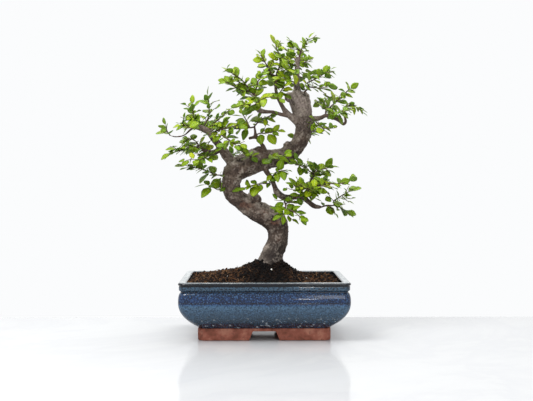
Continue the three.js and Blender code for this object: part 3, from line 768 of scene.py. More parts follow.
@dataclass
class GlazedPot:
    """The rectangular pot: moulded rim, swelling belly and a clay foot rail. Millimetres.

    The lip gives the rim's section as drops from its top and insets from its edge.
    """

    rim_wall: float = 9.6
    band: float = 10.0
    corner: float = 9.0
    belly: float = 48.0
    belly_inset: float = 23.5
    wall: float = 9.0
    floor: float = 7.5
    foot: float = 14.5
    foot_inset: float = 22.0
    rail: float = 15.0
    gate_top: float = 27.0
    gate_bottom: float = 37.0
    gate_height: float = 11.3
    drain: float = 18.0
    drain_apart: float = 76.0
    turns: int = 9
    bulge: float = 2.2
    lip: tuple[tuple[float, float], ...] = (
        (11.2, 3.1), (10.6, 2.9), (10.0, 2.3), (9.6, 1.6), (9.0, 1.15), (8.2, 1.0), (5.0, 0.95),
        (4.0, 1.25), (3.5, 1.1), (3.0, 0.35), (2.4, 0.0), (1.7, 0.05), (1.0, 0.45), (0.45, 1.1),
        (0.1, 2.0), (0.0, 3.2), (0.05, 7.2), (0.3, 8.4), (0.9, 9.3),
    )
    inner_levels: tuple[float, ...] = (66, 60, 52, 46, 42, 38, 34, 31, 28, 26, 24)
    half: tuple[float, float] = field(init=False)
    height: float = field(init=False)

    def __post_init__(self) -> None:
        """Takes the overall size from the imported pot."""
        _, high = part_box("pot")
        self.half = (high.x / MM, high.y / MM)
        self.height = high.z / MM

    def ring(self, inset: float, z: float, radius: float) -> Points:
        """One rounded outline.

        Args:
            inset: distance in from the rim's edge.
            z: its height.
            radius: its corner radius.

        Returns:
            The outline's points in metres, anticlockwise from above.
        """
        x, y = self.half[0] - inset, self.half[1] - inset
        points = []
        for corner in range(4):
            sx = 1 if corner in (0, 3) else -1
            sy = 1 if corner < 2 else -1
            for step in range(self.turns + 1):
                angle = (corner + step / self.turns) * math.pi / 2
                points.append(
                    Vector(
                        (
                            sx * (x - radius) + radius * math.cos(angle),
                            sy * (y - radius) + radius * math.sin(angle),
                            z,
                        )
                    )
                    * MM
                )
        return points

    def profile(self) -> list[tuple[float, float, float]]:
        """The wall's whole section, from under the bowl round to the inside floor.

        Returns:
            Inset, height and corner radius of each outline in turn.
        """
        inner = self.corner / 2
        under = self.foot_inset + self.rail
        rows = [(under + 1.0, self.foot, inner), (under, 0.6, inner), (under - 0.6, 0.0, inner)]
        foot = self.foot_inset
        rows += [(foot + 1.6, 0.0, 8.0), (foot + 0.5, 0.5, 8.5), (foot, 1.6, 9.0)]
        rows += [(foot, self.foot - 1.4, 9.0), (foot + 0.5, self.foot - 0.3, 9.0)]
        rows += [(foot + 1.4, self.foot + 0.1, 9.0)]
        for step in range(1, 22):
            share = 1 - step / 21
            z = self.belly - share * (self.belly - self.foot - 0.4)
            rows.append((self.belly_inset * share**self.bulge, z, self.corner))
        neck = self.height - self.band - 1.8
        for share, inset in ((0.3, 0.12), (0.5, 0.4), (0.7, 0.85), (0.85, 1.4), (0.94, 2.1)):
            rows.append((inset, self.belly + share * (neck - self.belly), self.corner))
        rows.append((2.8, neck, self.corner))
        for drop, inset in self.lip:
            rows.append((inset, self.height - drop, max(3.0, self.corner - inset * 0.5)))
        for z in self.inner_levels:
            depth = min(1.0, max(0.0, (self.belly - z) / (self.belly - self.foot)))
            inset = max(self.rim_wall, self.wall + self.belly_inset * depth**self.bulge)
            rows.append((inset, float(z), inner))
        last = rows[-1][0]
        rows.append((last + 2.5, self.foot + self.floor, inner))
        return rows

    def cutter(self) -> bpy.types.Object:
        """The shape of the front and back gaps with the two drain holes.

        Returns:
            A temporary object.
        """
        flare = (self.gate_bottom - self.gate_top) / 2 / self.gate_height
        section = [
            (-self.gate_bottom / 2 - flare, -1.0), (self.gate_bottom / 2 + flare, -1.0),
            (self.gate_top / 2 + 0.6, self.gate_height - 0.8),
            (self.gate_top / 2 - 0.6, self.gate_height),
            (-self.gate_top / 2 + 0.6, self.gate_height),
            (-self.gate_top / 2 - 0.6, self.gate_height - 0.8),
        ]
        tool = bmesh.new()
        for y in (-100.0, 100.0):
            for x, z in section:
                tool.verts.new(Vector((x, y, z)) * MM)
        tool.verts.ensure_lookup_table()
        count = len(section)
        tool.faces.new([tool.verts[i] for i in range(count)])
        tool.faces.new([tool.verts[count + i] for i in reversed(range(count))])
        for i in range(count):
            j = (i + 1) % count
            tool.faces.new([tool.verts[k] for k in (j, i, count + i, count + j)])
        for side in (-1, 1):
            place = Matrix.Translation(
                Vector((side * self.drain_apart / 2, 0, self.foot + self.floor / 2)) * MM
            )
            bmesh.ops.create_cone(
                tool, cap_ends=True, segments=40, radius1=self.drain / 2 * MM,
                radius2=self.drain / 2 * MM, depth=(self.floor + 6) * MM, matrix=place,
            )
        bmesh.ops.recalc_face_normals(tool, faces=tool.faces)
        mesh = bpy.data.meshes.new("gap_cutter")
        tool.to_mesh(mesh)
        tool.free()
        piece = bpy.data.objects.new("gap_cutter", mesh)
        bpy.context.scene.collection.objects.link(piece)
        return piece

    def build(self) -> bpy.types.Object:
        """Builds and dresses the pot.

        Returns:
            The finished pot.
        """
        rings = [self.ring(*row) for row in self.profile()]
        sides = len(rings[0])
        corners = [point for ring in rings for point in ring]
        faces = []
        for level in range(len(rings) - 1):
            for side in range(sides):
                a, b = level * sides + side, level * sides + (side + 1) % sides
                faces.append((a, b, b + sides, a + sides))
        faces.append(tuple(reversed(range(sides))))
        faces.append(tuple(range(len(corners) - sides, len(corners))))
        pot = mesh_object("glazed_pot", corners, faces)
        work = bmesh.new()
        work.from_mesh(pot.data)
        bmesh.ops.recalc_face_normals(work, faces=work.faces)
        work.to_mesh(pot.data)
        work.free()
        tool = self.cutter()
        cut = pot.modifiers.new("gaps", "BOOLEAN")
        cut.operation, cut.object, cut.solver = "DIFFERENCE", tool, "EXACT"
        apply_all(pot)
        bpy.data.objects.remove(tool)
        self.dress(pot)
        return pot

    def dress(self, pot: bpy.types.Object) -> None:
        """Gives the bowl its glaze and leaves the foot, underside and floor bare.

        Args:
            pot: the finished mesh.
        """
        mesh = pot.data
        mesh.materials.clear()
        mesh.materials.append(GLAZE.build())
        mesh.materials.append(CLAY.build())
        line = (self.foot + 0.35) * MM
        inside = (self.half[0] - self.rim_wall - 1) * MM
        for face in mesh.polygons:
            spot = face.center
            low = spot.z < line
            under = abs(spot.x) < inside * 0.55 and spot.z < 24 * MM and abs(spot.y) < 40 * MM
            face.material_index = 1 if low or under else 0
            face.use_smooth = True
        mesh.set_sharp_from_angle(angle=math.radians(38))
        finished(pot, ["pot"], None)


# ---------------------------------------------------------------- wood


@dataclass
class Limb:
    """One limb: across, back, above the rim, and radius at each point. Millimetres."""

    points: list[tuple[float, float, float, float]]
    sides: int = 20

    def path(self, rim: float) -> tuple[Points, list[float]]:
        """The limb's smooth centre line.

        Args:
            rim: height of the pot's rim in metres.

        Returns:
            Its points, and the radius at each, in metres.
        """
        centres = [Vector((x, y, h)) * MM + UP * rim for x, y, h, _ in self.points]
        line, girths = [], []
        for i in range(len(centres) - 1):
            around = [centres[max(0, min(len(centres) - 1, k))] for k in (i - 1, i, i + 1, i + 2)]
            count = max(2, round((around[2] - around[1]).length / (1.6 * MM)))
            for step in range(count):
                t = step / count
                line.append(between(around, t))
                ease = t * t * (3 - 2 * t)
                girth = self.points[i][3] * (1 - ease) + self.points[i + 1][3] * ease
                girths.append(girth * MM)
        line.append(centres[-1])
        girths.append(self.points[-1][3] * MM)
        return line, girths


def tube(line: Points, girths: list[float], sides: int, start: int) -> tuple[list, list]:
    """A closed round tube along a line.

    Args:
        line: its centre points.
        girths: its radius at each point.
        sides: how many sides it has.
        start: the number that its first corner gets.

    Returns:
        Its corners and faces.
    """
    corners, faces = [], []
    across = None
    for i, centre in enumerate(line):
        along = (line[min(i + 1, len(line) - 1)] - line[max(i - 1, 0)]).normalized()
        if across is None:
            across = along.orthogonal()
        across = (across - along * across.dot(along)).normalized()
        other = along.cross(across)
        for side in range(sides):
            angle = 2 * math.pi * side / sides
            corners.append(
                centre + girths[i] * (across * math.cos(angle) + other * math.sin(angle))
            )
    for i in range(len(line) - 1):
        for side in range(sides):
            a, b = start + i * sides + side, start + i * sides + (side + 1) % sides
            faces.append((a, b, b + sides, a + sides))
    faces.append(tuple(start + side for side in reversed(range(sides))))
    last = start + (len(line) - 1) * sides
    faces.append(tuple(last + side for side in range(sides)))
    return corners, faces


@dataclass
class Wood:
    """Trunk, roots, burrs and limbs as one grown skin of bark. Millimetres."""

    voxel: float = 0.82
    buried: float = 22.0
    crack_depth: float = 0.85
    plate: tuple[float, float] = (3.6, 11.0)
    wrinkle_apart: float = 0.55
    trunk: Limb = field(
        default_factory=lambda: Limb(
            [
                (4, 0, 0, 19), (6, 0, 11, 16.5), (10, 0, 25, 14), (15, 0, 39, 13), (18, -1, 54, 13),
                (13, -2, 69, 14.5), (-2, -3, 78, 13.5), (-14, -4, 84, 12.5), (-22, -4, 90, 11.5),
                (-30, -5, 96, 11), (-38, -6, 103, 11.5), (-41, -6, 114, 11.5), (-40, -6, 121, 11.5),
                (-38, -6, 128, 13), (-32, -5, 134, 14.5), (-22, -4, 139, 14.5), (-11, -2, 144, 15),
                (1, 0, 145, 13), (12, 2, 147, 11.5), (25, 3, 150, 10.5), (35, 4, 157, 11),
                (42, 4, 164, 10), (47, 5, 173, 10), (50, 5, 184, 10), (50, 5, 195, 11),
                (48, 4, 203, 12), (46, 3, 214, 13), (44, 2, 222, 13.5), (44, 2, 230, 9),
            ],
            36,
        )
    )
    leader: Limb = field(
        default_factory=lambda: Limb(
            [
                (43, 2, 218, 7), (41, 1, 235, 4.5), (41, 0, 246, 3.5), (41, 0, 257, 3.3),
                (42, 0, 266, 3.2), (43, 0, 273, 3.2),
            ]
        )
    )
    roots: list[Limb] = field(
        default_factory=lambda: [
            Limb([(2, 0, 6, 14), (-14, -4, -6, 9), (-32, -8, -18, 6)]),
            Limb([(6, -2, 6, 13), (10, -18, -8, 8), (18, -34, -20, 5)]),
            Limb([(8, 0, 6, 13), (24, 2, -8, 8), (40, 8, -20, 5.5)]),
            Limb([(4, 2, 6, 13), (0, 20, -8, 8), (-8, 34, -20, 5)]),
        ]
    )
    burrs: list[tuple[float, float, float, float]] = field(
        default_factory=lambda: [
            (-13, -4, 96, 9.5), (17, -9, 68, 9), (32, 4, 223, 6.5), (49, 4, 220, 9), (30, 0, 164, 5.5),
            (-30, -9, 139, 9), (-6, -2, 153, 9),
        ]
    )
    limbs: dict[str, list[Limb]] = field(
        default_factory=lambda: {
            "branch_left_low": [
                Limb([(-34, -5, 134, 7), (-46, -7, 150, 6), (-53, -9, 160, 5), (-61, -10, 170, 4.5),
                      (-68, -12, 179, 4), (-78, -12, 184, 4), (-85, -12, 185, 3),
                      (-90, -13, 182, 1.6), (-98, -14, 175, 1.1), (-108, -15, 173, 1),
                      (-116, -16, 175, 0.8)]),
                Limb([(-53, -9, 159, 4), (-63, -15, 153, 4), (-71, -19, 155, 2.5),
                      (-76, -21, 157, 1.8)]),
            ],
            "branch_upper_left": [
                Limb([(49, 4, 186, 6), (40, 2, 194, 4.5), (33, 0, 199, 4), (27, -2, 205, 3.4),
                      (22, 0, 213, 2.6), (17, 2, 224, 2.4), (15, 3, 232, 2), (15, 3, 244, 1.6),
                      (16, 3, 253, 1.4)]),
                Limb([(31, -1, 200, 3), (22, -3, 201, 2.4), (12, -6, 204, 2.2), (4, -9, 204, 2.6),
                      (-6, -12, 206, 3.6), (-8, -13, 215, 2.6), (-11, -13, 223, 2),
                      (-17, -13, 230, 1.5)]),
            ],
            "branch_middle": [
                Limb([(4, -2, 146, 4), (1, -6, 157, 2.8), (-5, -10, 168, 2.2), (-10, -12, 174, 2.5),
                      (-11, -13, 180, 1.6), (-12, -14, 187, 1.4)]),
                Limb([(-9, -12, 173, 2.2), (-15, -13, 172, 2), (-19, -14, 171, 2)]),
            ],
            "branch_right": [
                Limb([(52, 4, 194, 5), (61, 2, 196, 3.6), (69, 0, 197, 3), (77, -3, 200, 2.6),
                      (83, -5, 198, 2.5), (91, -6, 195, 2.2), (98, -7, 189, 2), (101, -7, 192, 1.9),
                      (100, -7, 197, 1.6), (99, -7, 204, 1.4), (98, -7, 210, 1.2)]),
            ],
            "branch_right_low": [
                Limb([(0, -4, 142, 5), (3, -9, 131, 3.5), (9, -12, 122, 3), (13, -14, 112, 3),
                      (17, -14, 104, 4), (25, -12, 99, 4), (36, -10, 99, 3.6), (47, -8, 99, 3.5),
                      (54, -8, 94, 3.5), (60, -9, 89, 3.5), (66, -10, 87, 2.8), (71, -10, 87, 1.6)]),
                Limb([(46, -8, 99, 3), (53, -4, 106, 2.5), (57, 0, 114, 2), (59, 3, 123, 1.5)]),
            ],
        }
    )

    def raw(self, rim: float) -> tuple[bpy.types.Object, KDTree, list]:
        """Joins every limb and burr roughly and records their centre lines.

        Args:
            rim: height of the pot's rim in metres.

        Returns:
            The rough piece, a finder of centre points, and what each centre point knows.
        """
        corners: list = []
        faces: list = []
        marks = []
        parts = [self.trunk, self.leader, *self.roots]
        parts += [limb for limbs in self.limbs.values() for limb in limbs]
        for limb in parts:
            line, girths = limb.path(rim)
            more, walls = tube(line, girths, limb.sides, len(corners))
            corners += more
            faces += walls
            far = 0.0
            for i, spot in enumerate(line):
                along = (line[min(i + 1, len(line) - 1)] - line[max(i - 1, 0)]).normalized()
                far += (spot - line[max(i - 1, 0)]).length
                marks.append((spot, along, girths[i], far))
        for x, y, h, r in self.burrs:
            place = Vector((x, y, h)) * MM + UP * rim
            more, walls = ball(r * MM, 3)
            faces += [tuple(len(corners) + k for k in wall) for wall in walls]
            corners += [place + corner for corner in more]
        finder = KDTree(len(marks))
        for i, mark in enumerate(marks):
            finder.insert(mark[0], i)
        finder.balance()
        return mesh_object("trunk_and_branches", corners, faces), finder, marks

    def nearest(self, spot: Vector, finder: KDTree, marks: list) -> tuple:
        """The centre point whose limb a surface point lies on.

        Args:
            spot: the surface point.
            finder: the finder of centre points.
            marks: what each centre point knows.

        Returns:
            Centre, direction, radius and distance along the limb.
        """
        near = finder.find_n(spot, 12)
        _, index, _ = min(near, key=lambda found: abs(found[2] - marks[found[1]][2]))
        return marks[index]

    def roughen(self, piece: bpy.types.Object, finder: KDTree, marks: list) -> None:
        """Moves the skin out and in as bark does, and keeps its cracks and crests, and how each point
        faces, for the painted light and shade.

        Args:
            piece: the smooth wood.
            finder: the finder of centre points.
            marks: what each centre point knows.
        """
        mesh = piece.data
        cracks, relief, thick, bleach = [], [], [], []
        normals = [v.normal.copy() for v in mesh.vertices]
        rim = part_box("pot")[1].z
        burrs = [(Vector((x, y, h)) * MM + UP * rim, r * MM) for x, y, h, r in self.burrs]
        for vertex, normal in zip(mesh.vertices, normals):
            spot = vertex.co
            swell = max(max(0.0, 1.7 - (spot - at).length / r) for at, r in burrs)
            centre, along, girth, far = self.nearest(spot, finder, marks)
            arm = spot - centre
            arm -= along * arm.dot(along)
            local = spot / MM
            ridge = arm / (self.plate[0] * MM) + along * (far / (self.plate[1] * MM))
            cells = noise.voronoi(ridge)[0]
            crack = max(0.0, 1 - (cells[1] - cells[0]) / 0.16)
            patch = noise.noise(local / 16 + Vector((7, 3, 1)))
            crack *= min(1.0, max(0.0, 0.35 + 1.3 * patch))
            lumps = noise.noise(local / 13) * 1.5 + noise.noise(local / 5.5) * 0.9
            wrinkle = math.sin(far / (self.wrinkle_apart * MM) + 3 * noise.noise(local / 6))
            wrinkle *= max(0.0, noise.noise(local / 10 + Vector((0, 9, 4)))) * 0.32
            fine = noise.noise(local / 2.2) * 0.4 + noise.noise(local / 1.3) * 0.12
            knobs = noise.noise(local / 4.2 + Vector((3, 8, 2))) * 2.6 * min(1.0, swell)
            size = min(1.0, max(0.16, girth / (8.5 * MM)))
            shift = (lumps + knobs + wrinkle + fine - self.crack_depth * crack) * size
            vertex.co = spot + normal * shift * MM
            cracks.append(crack)
            relief.append(0.5 + (lumps + knobs) * 0.33 + fine)
            thick.append(girth)
            # painted light and shade by facing: above zero on the tops of thick limbs, below zero
            # underneath
            bleach.append(normal.z * min(1.0, girth / (9 * MM)))
        kept = {"crack": cracks, "relief": relief, "girth": thick, "bleach": bleach}
        for name, values in kept.items():
            mesh.attributes.new(name, "FLOAT", "POINT").data.foreach_set("value", values)

    def build(self) -> bpy.types.Object:
        """Builds and dresses the wood.

        Returns:
            The finished wood.
        """
        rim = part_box("pot")[1].z
        piece, finder, marks = self.raw(rim)
        remesh = piece.modifiers.new("grow_together", "REMESH")
        remesh.mode = "VOXEL"
        remesh.voxel_size = self.voxel * MM * 1.0
        soften = piece.modifiers.new("soften", "SMOOTH")
        soften.factor, soften.iterations = 0.5, 9
        apply_all(piece)
        self.trim(piece, rim - self.buried * MM)
        self.roughen(piece, finder, marks)
        shade_smooth(piece)
        finished(piece, ["trunk", *self.limbs], BARK.build())
        return piece

    def trim(self, piece: bpy.types.Object, level: float) -> None:
        """Cuts off and closes what lies deep in the soil.

        Args:
            piece: the wood.
            level: the height to cut at, in metres.
        """
        work = bmesh.new()
        work.from_mesh(piece.data)
        everything = [*work.verts, *work.edges, *work.faces]
        cut = bmesh.ops.bisect_plane(
            work, geom=everything, plane_co=(0, 0, level), plane_no=(0, 0, 1), clear_inner=True
        )
        edges = [e for e in cut["geom_cut"] if isinstance(e, bmesh.types.BMEdge)]
        bmesh.ops.holes_fill(work, edges=edges, sides=0)
        bmesh.ops.recalc_face_normals(work, faces=work.faces)
        work.to_mesh(piece.data)
        work.free()


# ---------------------------------------------------------------- foliage


# the parts of the crown: a shoot's leaves go to the first that its name starts with
PADS = (
    "crown", "elbow", "front", "back", "upper_left", "reach", "left", "low_left", "middle",
    "right", "gap", "low_right", "stem",
)
# shoots that stay open, so that the wood behind them shows
OPEN = (
    "stem_front", "elbow_small", "left_inner", "crown_front", "crown_centre", "crown_left",
    "crown_right_back", "upper_left_right", "upper_left_front", "upper_left_back", "reach_up",
    "front_right", "front_left", "middle_left",
)
# shoots with closer side twigs
FULL = ("low_", "reach_tip", "reach_low")


@dataclass
class LeafSeat:
    """Where one leaf sits: its base, how it points and faces, and what it looks like."""

    base: Vector
    along: Vector
    face: Vector
    length: float
    tint: float = 0.5
    age: float = 1.0
    kind: int = 0

    def turn(self) -> tuple[float, float, float]:
        """The leaf's turn from lying along +Y and facing +Z.

        Returns:
            The turn's Euler angles.
        """
        across = self.along.cross(self.face).normalized()
        face = across.cross(self.along)
        grid = Matrix((across, self.along, face)).transposed()
        return tuple(grid.to_euler("XYZ"))


@dataclass
class Shoot:
    """One leafy shoot, read back from its solid."""

    node: str
    widest: float = 0.55
    width: float = 0.625
    seats: list[LeafSeat] = field(default_factory=list)
    stems: list[tuple[Points, list[float]]] = field(default_factory=list)

    def read(self, wood: BVHTree, solid: bpy.types.Object) -> "Shoot":
        """Finds the leaves and the stem that carries them.

        Args:
            wood: the surface that the shoot grows from.
            solid: the shoot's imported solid.

        Returns:
            This shoot, with its seats and stems.
        """
        places, triangles = welded(solid)
        a, b, c = (places[triangles[:, i]] for i in range(3))
        normals = np.cross(b - a, c - a)
        areas = np.linalg.norm(normals, axis=1)
        normals /= np.maximum(areas, 1e-18)[:, None]
        users: dict[int, list[int]] = {}
        for number, triangle in enumerate(triangles):
            for corner in triangle:
                users.setdefault(int(corner), []).append(number)
        for corner, faces in users.items():
            seat = self.leaf_at(corner, faces, places, triangles, normals)
            if seat is not None:
                self.seats.append(seat)
        self.connect(wood)
        return self

    def leaf_at(
        self, corner: int, faces: list[int], places: Any, triangles: Any, normals: Any
    ) -> LeafSeat | None:
        """The leaf whose tip is at a corner, if it is one.

        Args:
            corner: the corner's number.
            faces: its triangles.
            places: all corner positions.
            triangles: all triangles.
            normals: all triangle normals.

        Returns:
            The leaf's seat, or None.
        """
        tip = places[corner]
        total = 0.0
        planes: list[np.ndarray] = []
        for number in faces:
            ends = [places[k] - tip for k in triangles[number] if k != corner]
            u, v = (e / max(np.linalg.norm(e), 1e-12) for e in ends)
            total += math.acos(float(np.clip(u @ v, -1, 1)))
            if all(normals[number] @ plane < 0.9995 for plane in planes):
                planes.append(normals[number])
        if not (math.radians(70) < total < math.radians(165)) or len(planes) != 3:
            return None
        edges = []
        for i, j in ((0, 1), (1, 2), (2, 0)):
            edge = np.cross(planes[i], planes[j])
            edge /= np.linalg.norm(edge)
            reach = (places - tip) @ edge
            off = np.linalg.norm(places - tip - reach[:, None] * edge, axis=1)
            if reach[np.argmin(np.where(abs(reach) > 1e-5, off, 9))] < 0:
                edge = -edge
                reach = -reach
            on = (off < 0.02 * MM) & (reach > 0)
            edges.append((edge, float(reach[on].max()) if on.any() else 0.0))
        cosines = [
            min(edges[k][0] @ edges[m][0] for m in range(3) if m != k) for k in range(3)
        ]
        rib = int(np.argmax(cosines))
        sides = [edges[k] for k in range(3) if k != rib]
        along = Vector(-edges[rib][0])
        flank = math.sqrt(self.widest**2 + (self.width / 2) ** 2)
        length = max(sides[0][1], sides[1][1]) / flank
        across = Vector(sides[0][0] - sides[1][0]).normalized()
        face = across.cross(along).normalized()
        middle = Vector(sides[0][0] + sides[1][0])
        if face.dot(middle) > 0:
            face = -face
        if length < 6 * MM:
            return None
        return LeafSeat(Vector(tip) - along * length, along, face, length)

    def connect(self, wood: BVHTree) -> None:
        """Draws stems from the wood through the leaf bases, each to its nearest before it.

        Args:
            wood: the surface that the shoot grows from.
        """
        near = sorted(self.seats, key=lambda seat: wood.find_nearest(seat.base)[3])
        root, normal, _, _ = wood.find_nearest(near[0].base)
        spots = [root - normal * 0.8 * MM]
        parents = [-1]
        for seat in sorted(self.seats, key=lambda seat: (seat.base - root).length):
            best = min(
                range(len(spots)),
                key=lambda k: (spots[k] - seat.base).length + (0.0012 if k == 0 else 0)
                * len(spots) ** 0.5,
            )
            parents.append(best)
            spots.append(seat.base.copy())
        load = [1] * len(spots)
        for k in range(len(spots) - 1, 0, -1):
            load[parents[k]] += load[k]
        used: set[int] = set()
        for k in sorted(range(1, len(spots)), key=lambda k: -k):
            if k in used:
                continue
            chain = [k]
            while chain[-1] != 0 and parents[chain[-1]] != -1:
                chain.append(parents[chain[-1]])
                if chain[-1] in used:
                    break
            used.update(chain[:-1])
            chain.reverse()
            if len(chain) < 2:
                continue
            line = [spots[i] for i in chain]
            girths = [(0.34 + 0.17 * load[i] ** 0.62) * MM for i in chain]
            smooth = catmull(line, 2.2 * MM)
            share = np.linspace(0, len(line) - 1, len(smooth))
            self.stems.append((smooth, list(np.interp(share, range(len(line)), girths))))


@dataclass
class LeafShape:
    """Outline and curl of one sort of leaf, one unit long from stalk to tip."""

    wide: float
    belly: float
    point: float
    fold: float
    droop: float
    stalk: float = 0.11
    rows: int = 8
    tooth: float = 0.035
    half_thick: float = 0.011

    def half_width(self, t: float) -> float:
        """Half the blade's width.

        Args:
            t: how far along the blade, 0 to 1.

        Returns:
            The half width, for a leaf one unit long.
        """
        body = math.sin(math.pi * t ** self.belly) ** 0.72
        return self.wide / 2 * body * (1 - self.point * t**3)

    def mesh(self, name: str) -> bpy.types.Object:
        """Builds the closed thin blade with its stalk.

        Args:
            name: the object's name.

        Returns:
            The leaf, along +Y, facing +Z.
        """
        columns = (-1.0, -0.52, 0.0, 0.52, 1.0)
        tops, unders, maps, rims = [], [], [], []
        for row in range(1, self.rows):
            t = row / self.rows
            half = self.half_width(t)
            tooth = 1 + self.tooth if row % 2 else 1 - self.tooth
            y = self.stalk + (1 - self.stalk) * t
            for column in columns:
                x = column * half * (tooth if abs(column) == 1 else 1)
                lift = self.fold * abs(x) - 0.012 * math.sin(3 * math.pi * t) * abs(column)
                z = lift - self.droop * t * t
                thick = 0.0 if abs(column) == 1 else self.half_thick
                tops.append((x, y, z + thick))
                unders.append((x, y, z - thick))
                maps.append((0.5 + column / 2, t))
                rims.append(abs(column) == 1)
        corners = list(tops)
        under_at = []
        for i, spot in enumerate(unders):
            if rims[i]:
                under_at.append(i)
            else:
                under_at.append(len(corners))
                corners.append(spot)
        uv = [*maps, *[m for m, rim in zip(maps, rims) if not rim]]
        neck, tip = len(corners), len(corners) + 1
        corners += [(0, self.stalk, 0), (0, 1, -self.droop)]
        uv += [(0.5, 0), (0.5, 1)]
        faces, below = [], []
        wide = len(columns)
        for row in range(self.rows - 2):
            for column in range(wide - 1):
                quad = [row * wide + column, row * wide + column + 1]
                quad += [quad[1] + wide, quad[0] + wide]
                faces.append(quad)
                below.append(0.0)
                faces.append([under_at[k] for k in reversed(quad)])
                below.append(1.0)
        last = (self.rows - 2) * wide
        for column in range(wide - 1):
            faces.append([neck, column + 1, column])
            below.append(0.0)
            faces.append([neck, under_at[column], under_at[column + 1]])
            below.append(1.0)
            faces.append([tip, last + column, last + column + 1])
            below.append(0.0)
            faces.append([tip, under_at[last + column + 1], under_at[last + column]])
            below.append(1.0)
        # the stalk, three-sided, from the stem to just inside the blade
        base = len(corners)
        for y, r in ((-0.02, 0.024), (self.stalk + 0.05, 0.014)):
            for turn in range(3):
                angle = 2 * math.pi * turn / 3 + math.pi / 2
                corners.append((r * math.cos(angle), y, r * math.sin(angle) * 0.9))
                uv.append((0.5, 0.02))
        for turn in range(3):
            nxt = (turn + 1) % 3
            faces.append([base + turn, base + nxt, base + 3 + nxt, base + 3 + turn])
            below.append(0.0)
        faces.append([base, base + 2, base + 1])
        faces.append([base + 3, base + 4, base + 5])
        below += [0.0, 0.0]
        piece = mesh_object(name, corners, faces)
        mesh = piece.data
        layer = mesh.uv_layers.new(name="blade")
        for loop in mesh.loops:
            layer.data[loop.index].uv = uv[loop.vertex_index]
        mark = mesh.attributes.new("under", "FLOAT", "FACE")
        mark.data.foreach_set("value", below[: len(mesh.polygons)])
        return piece


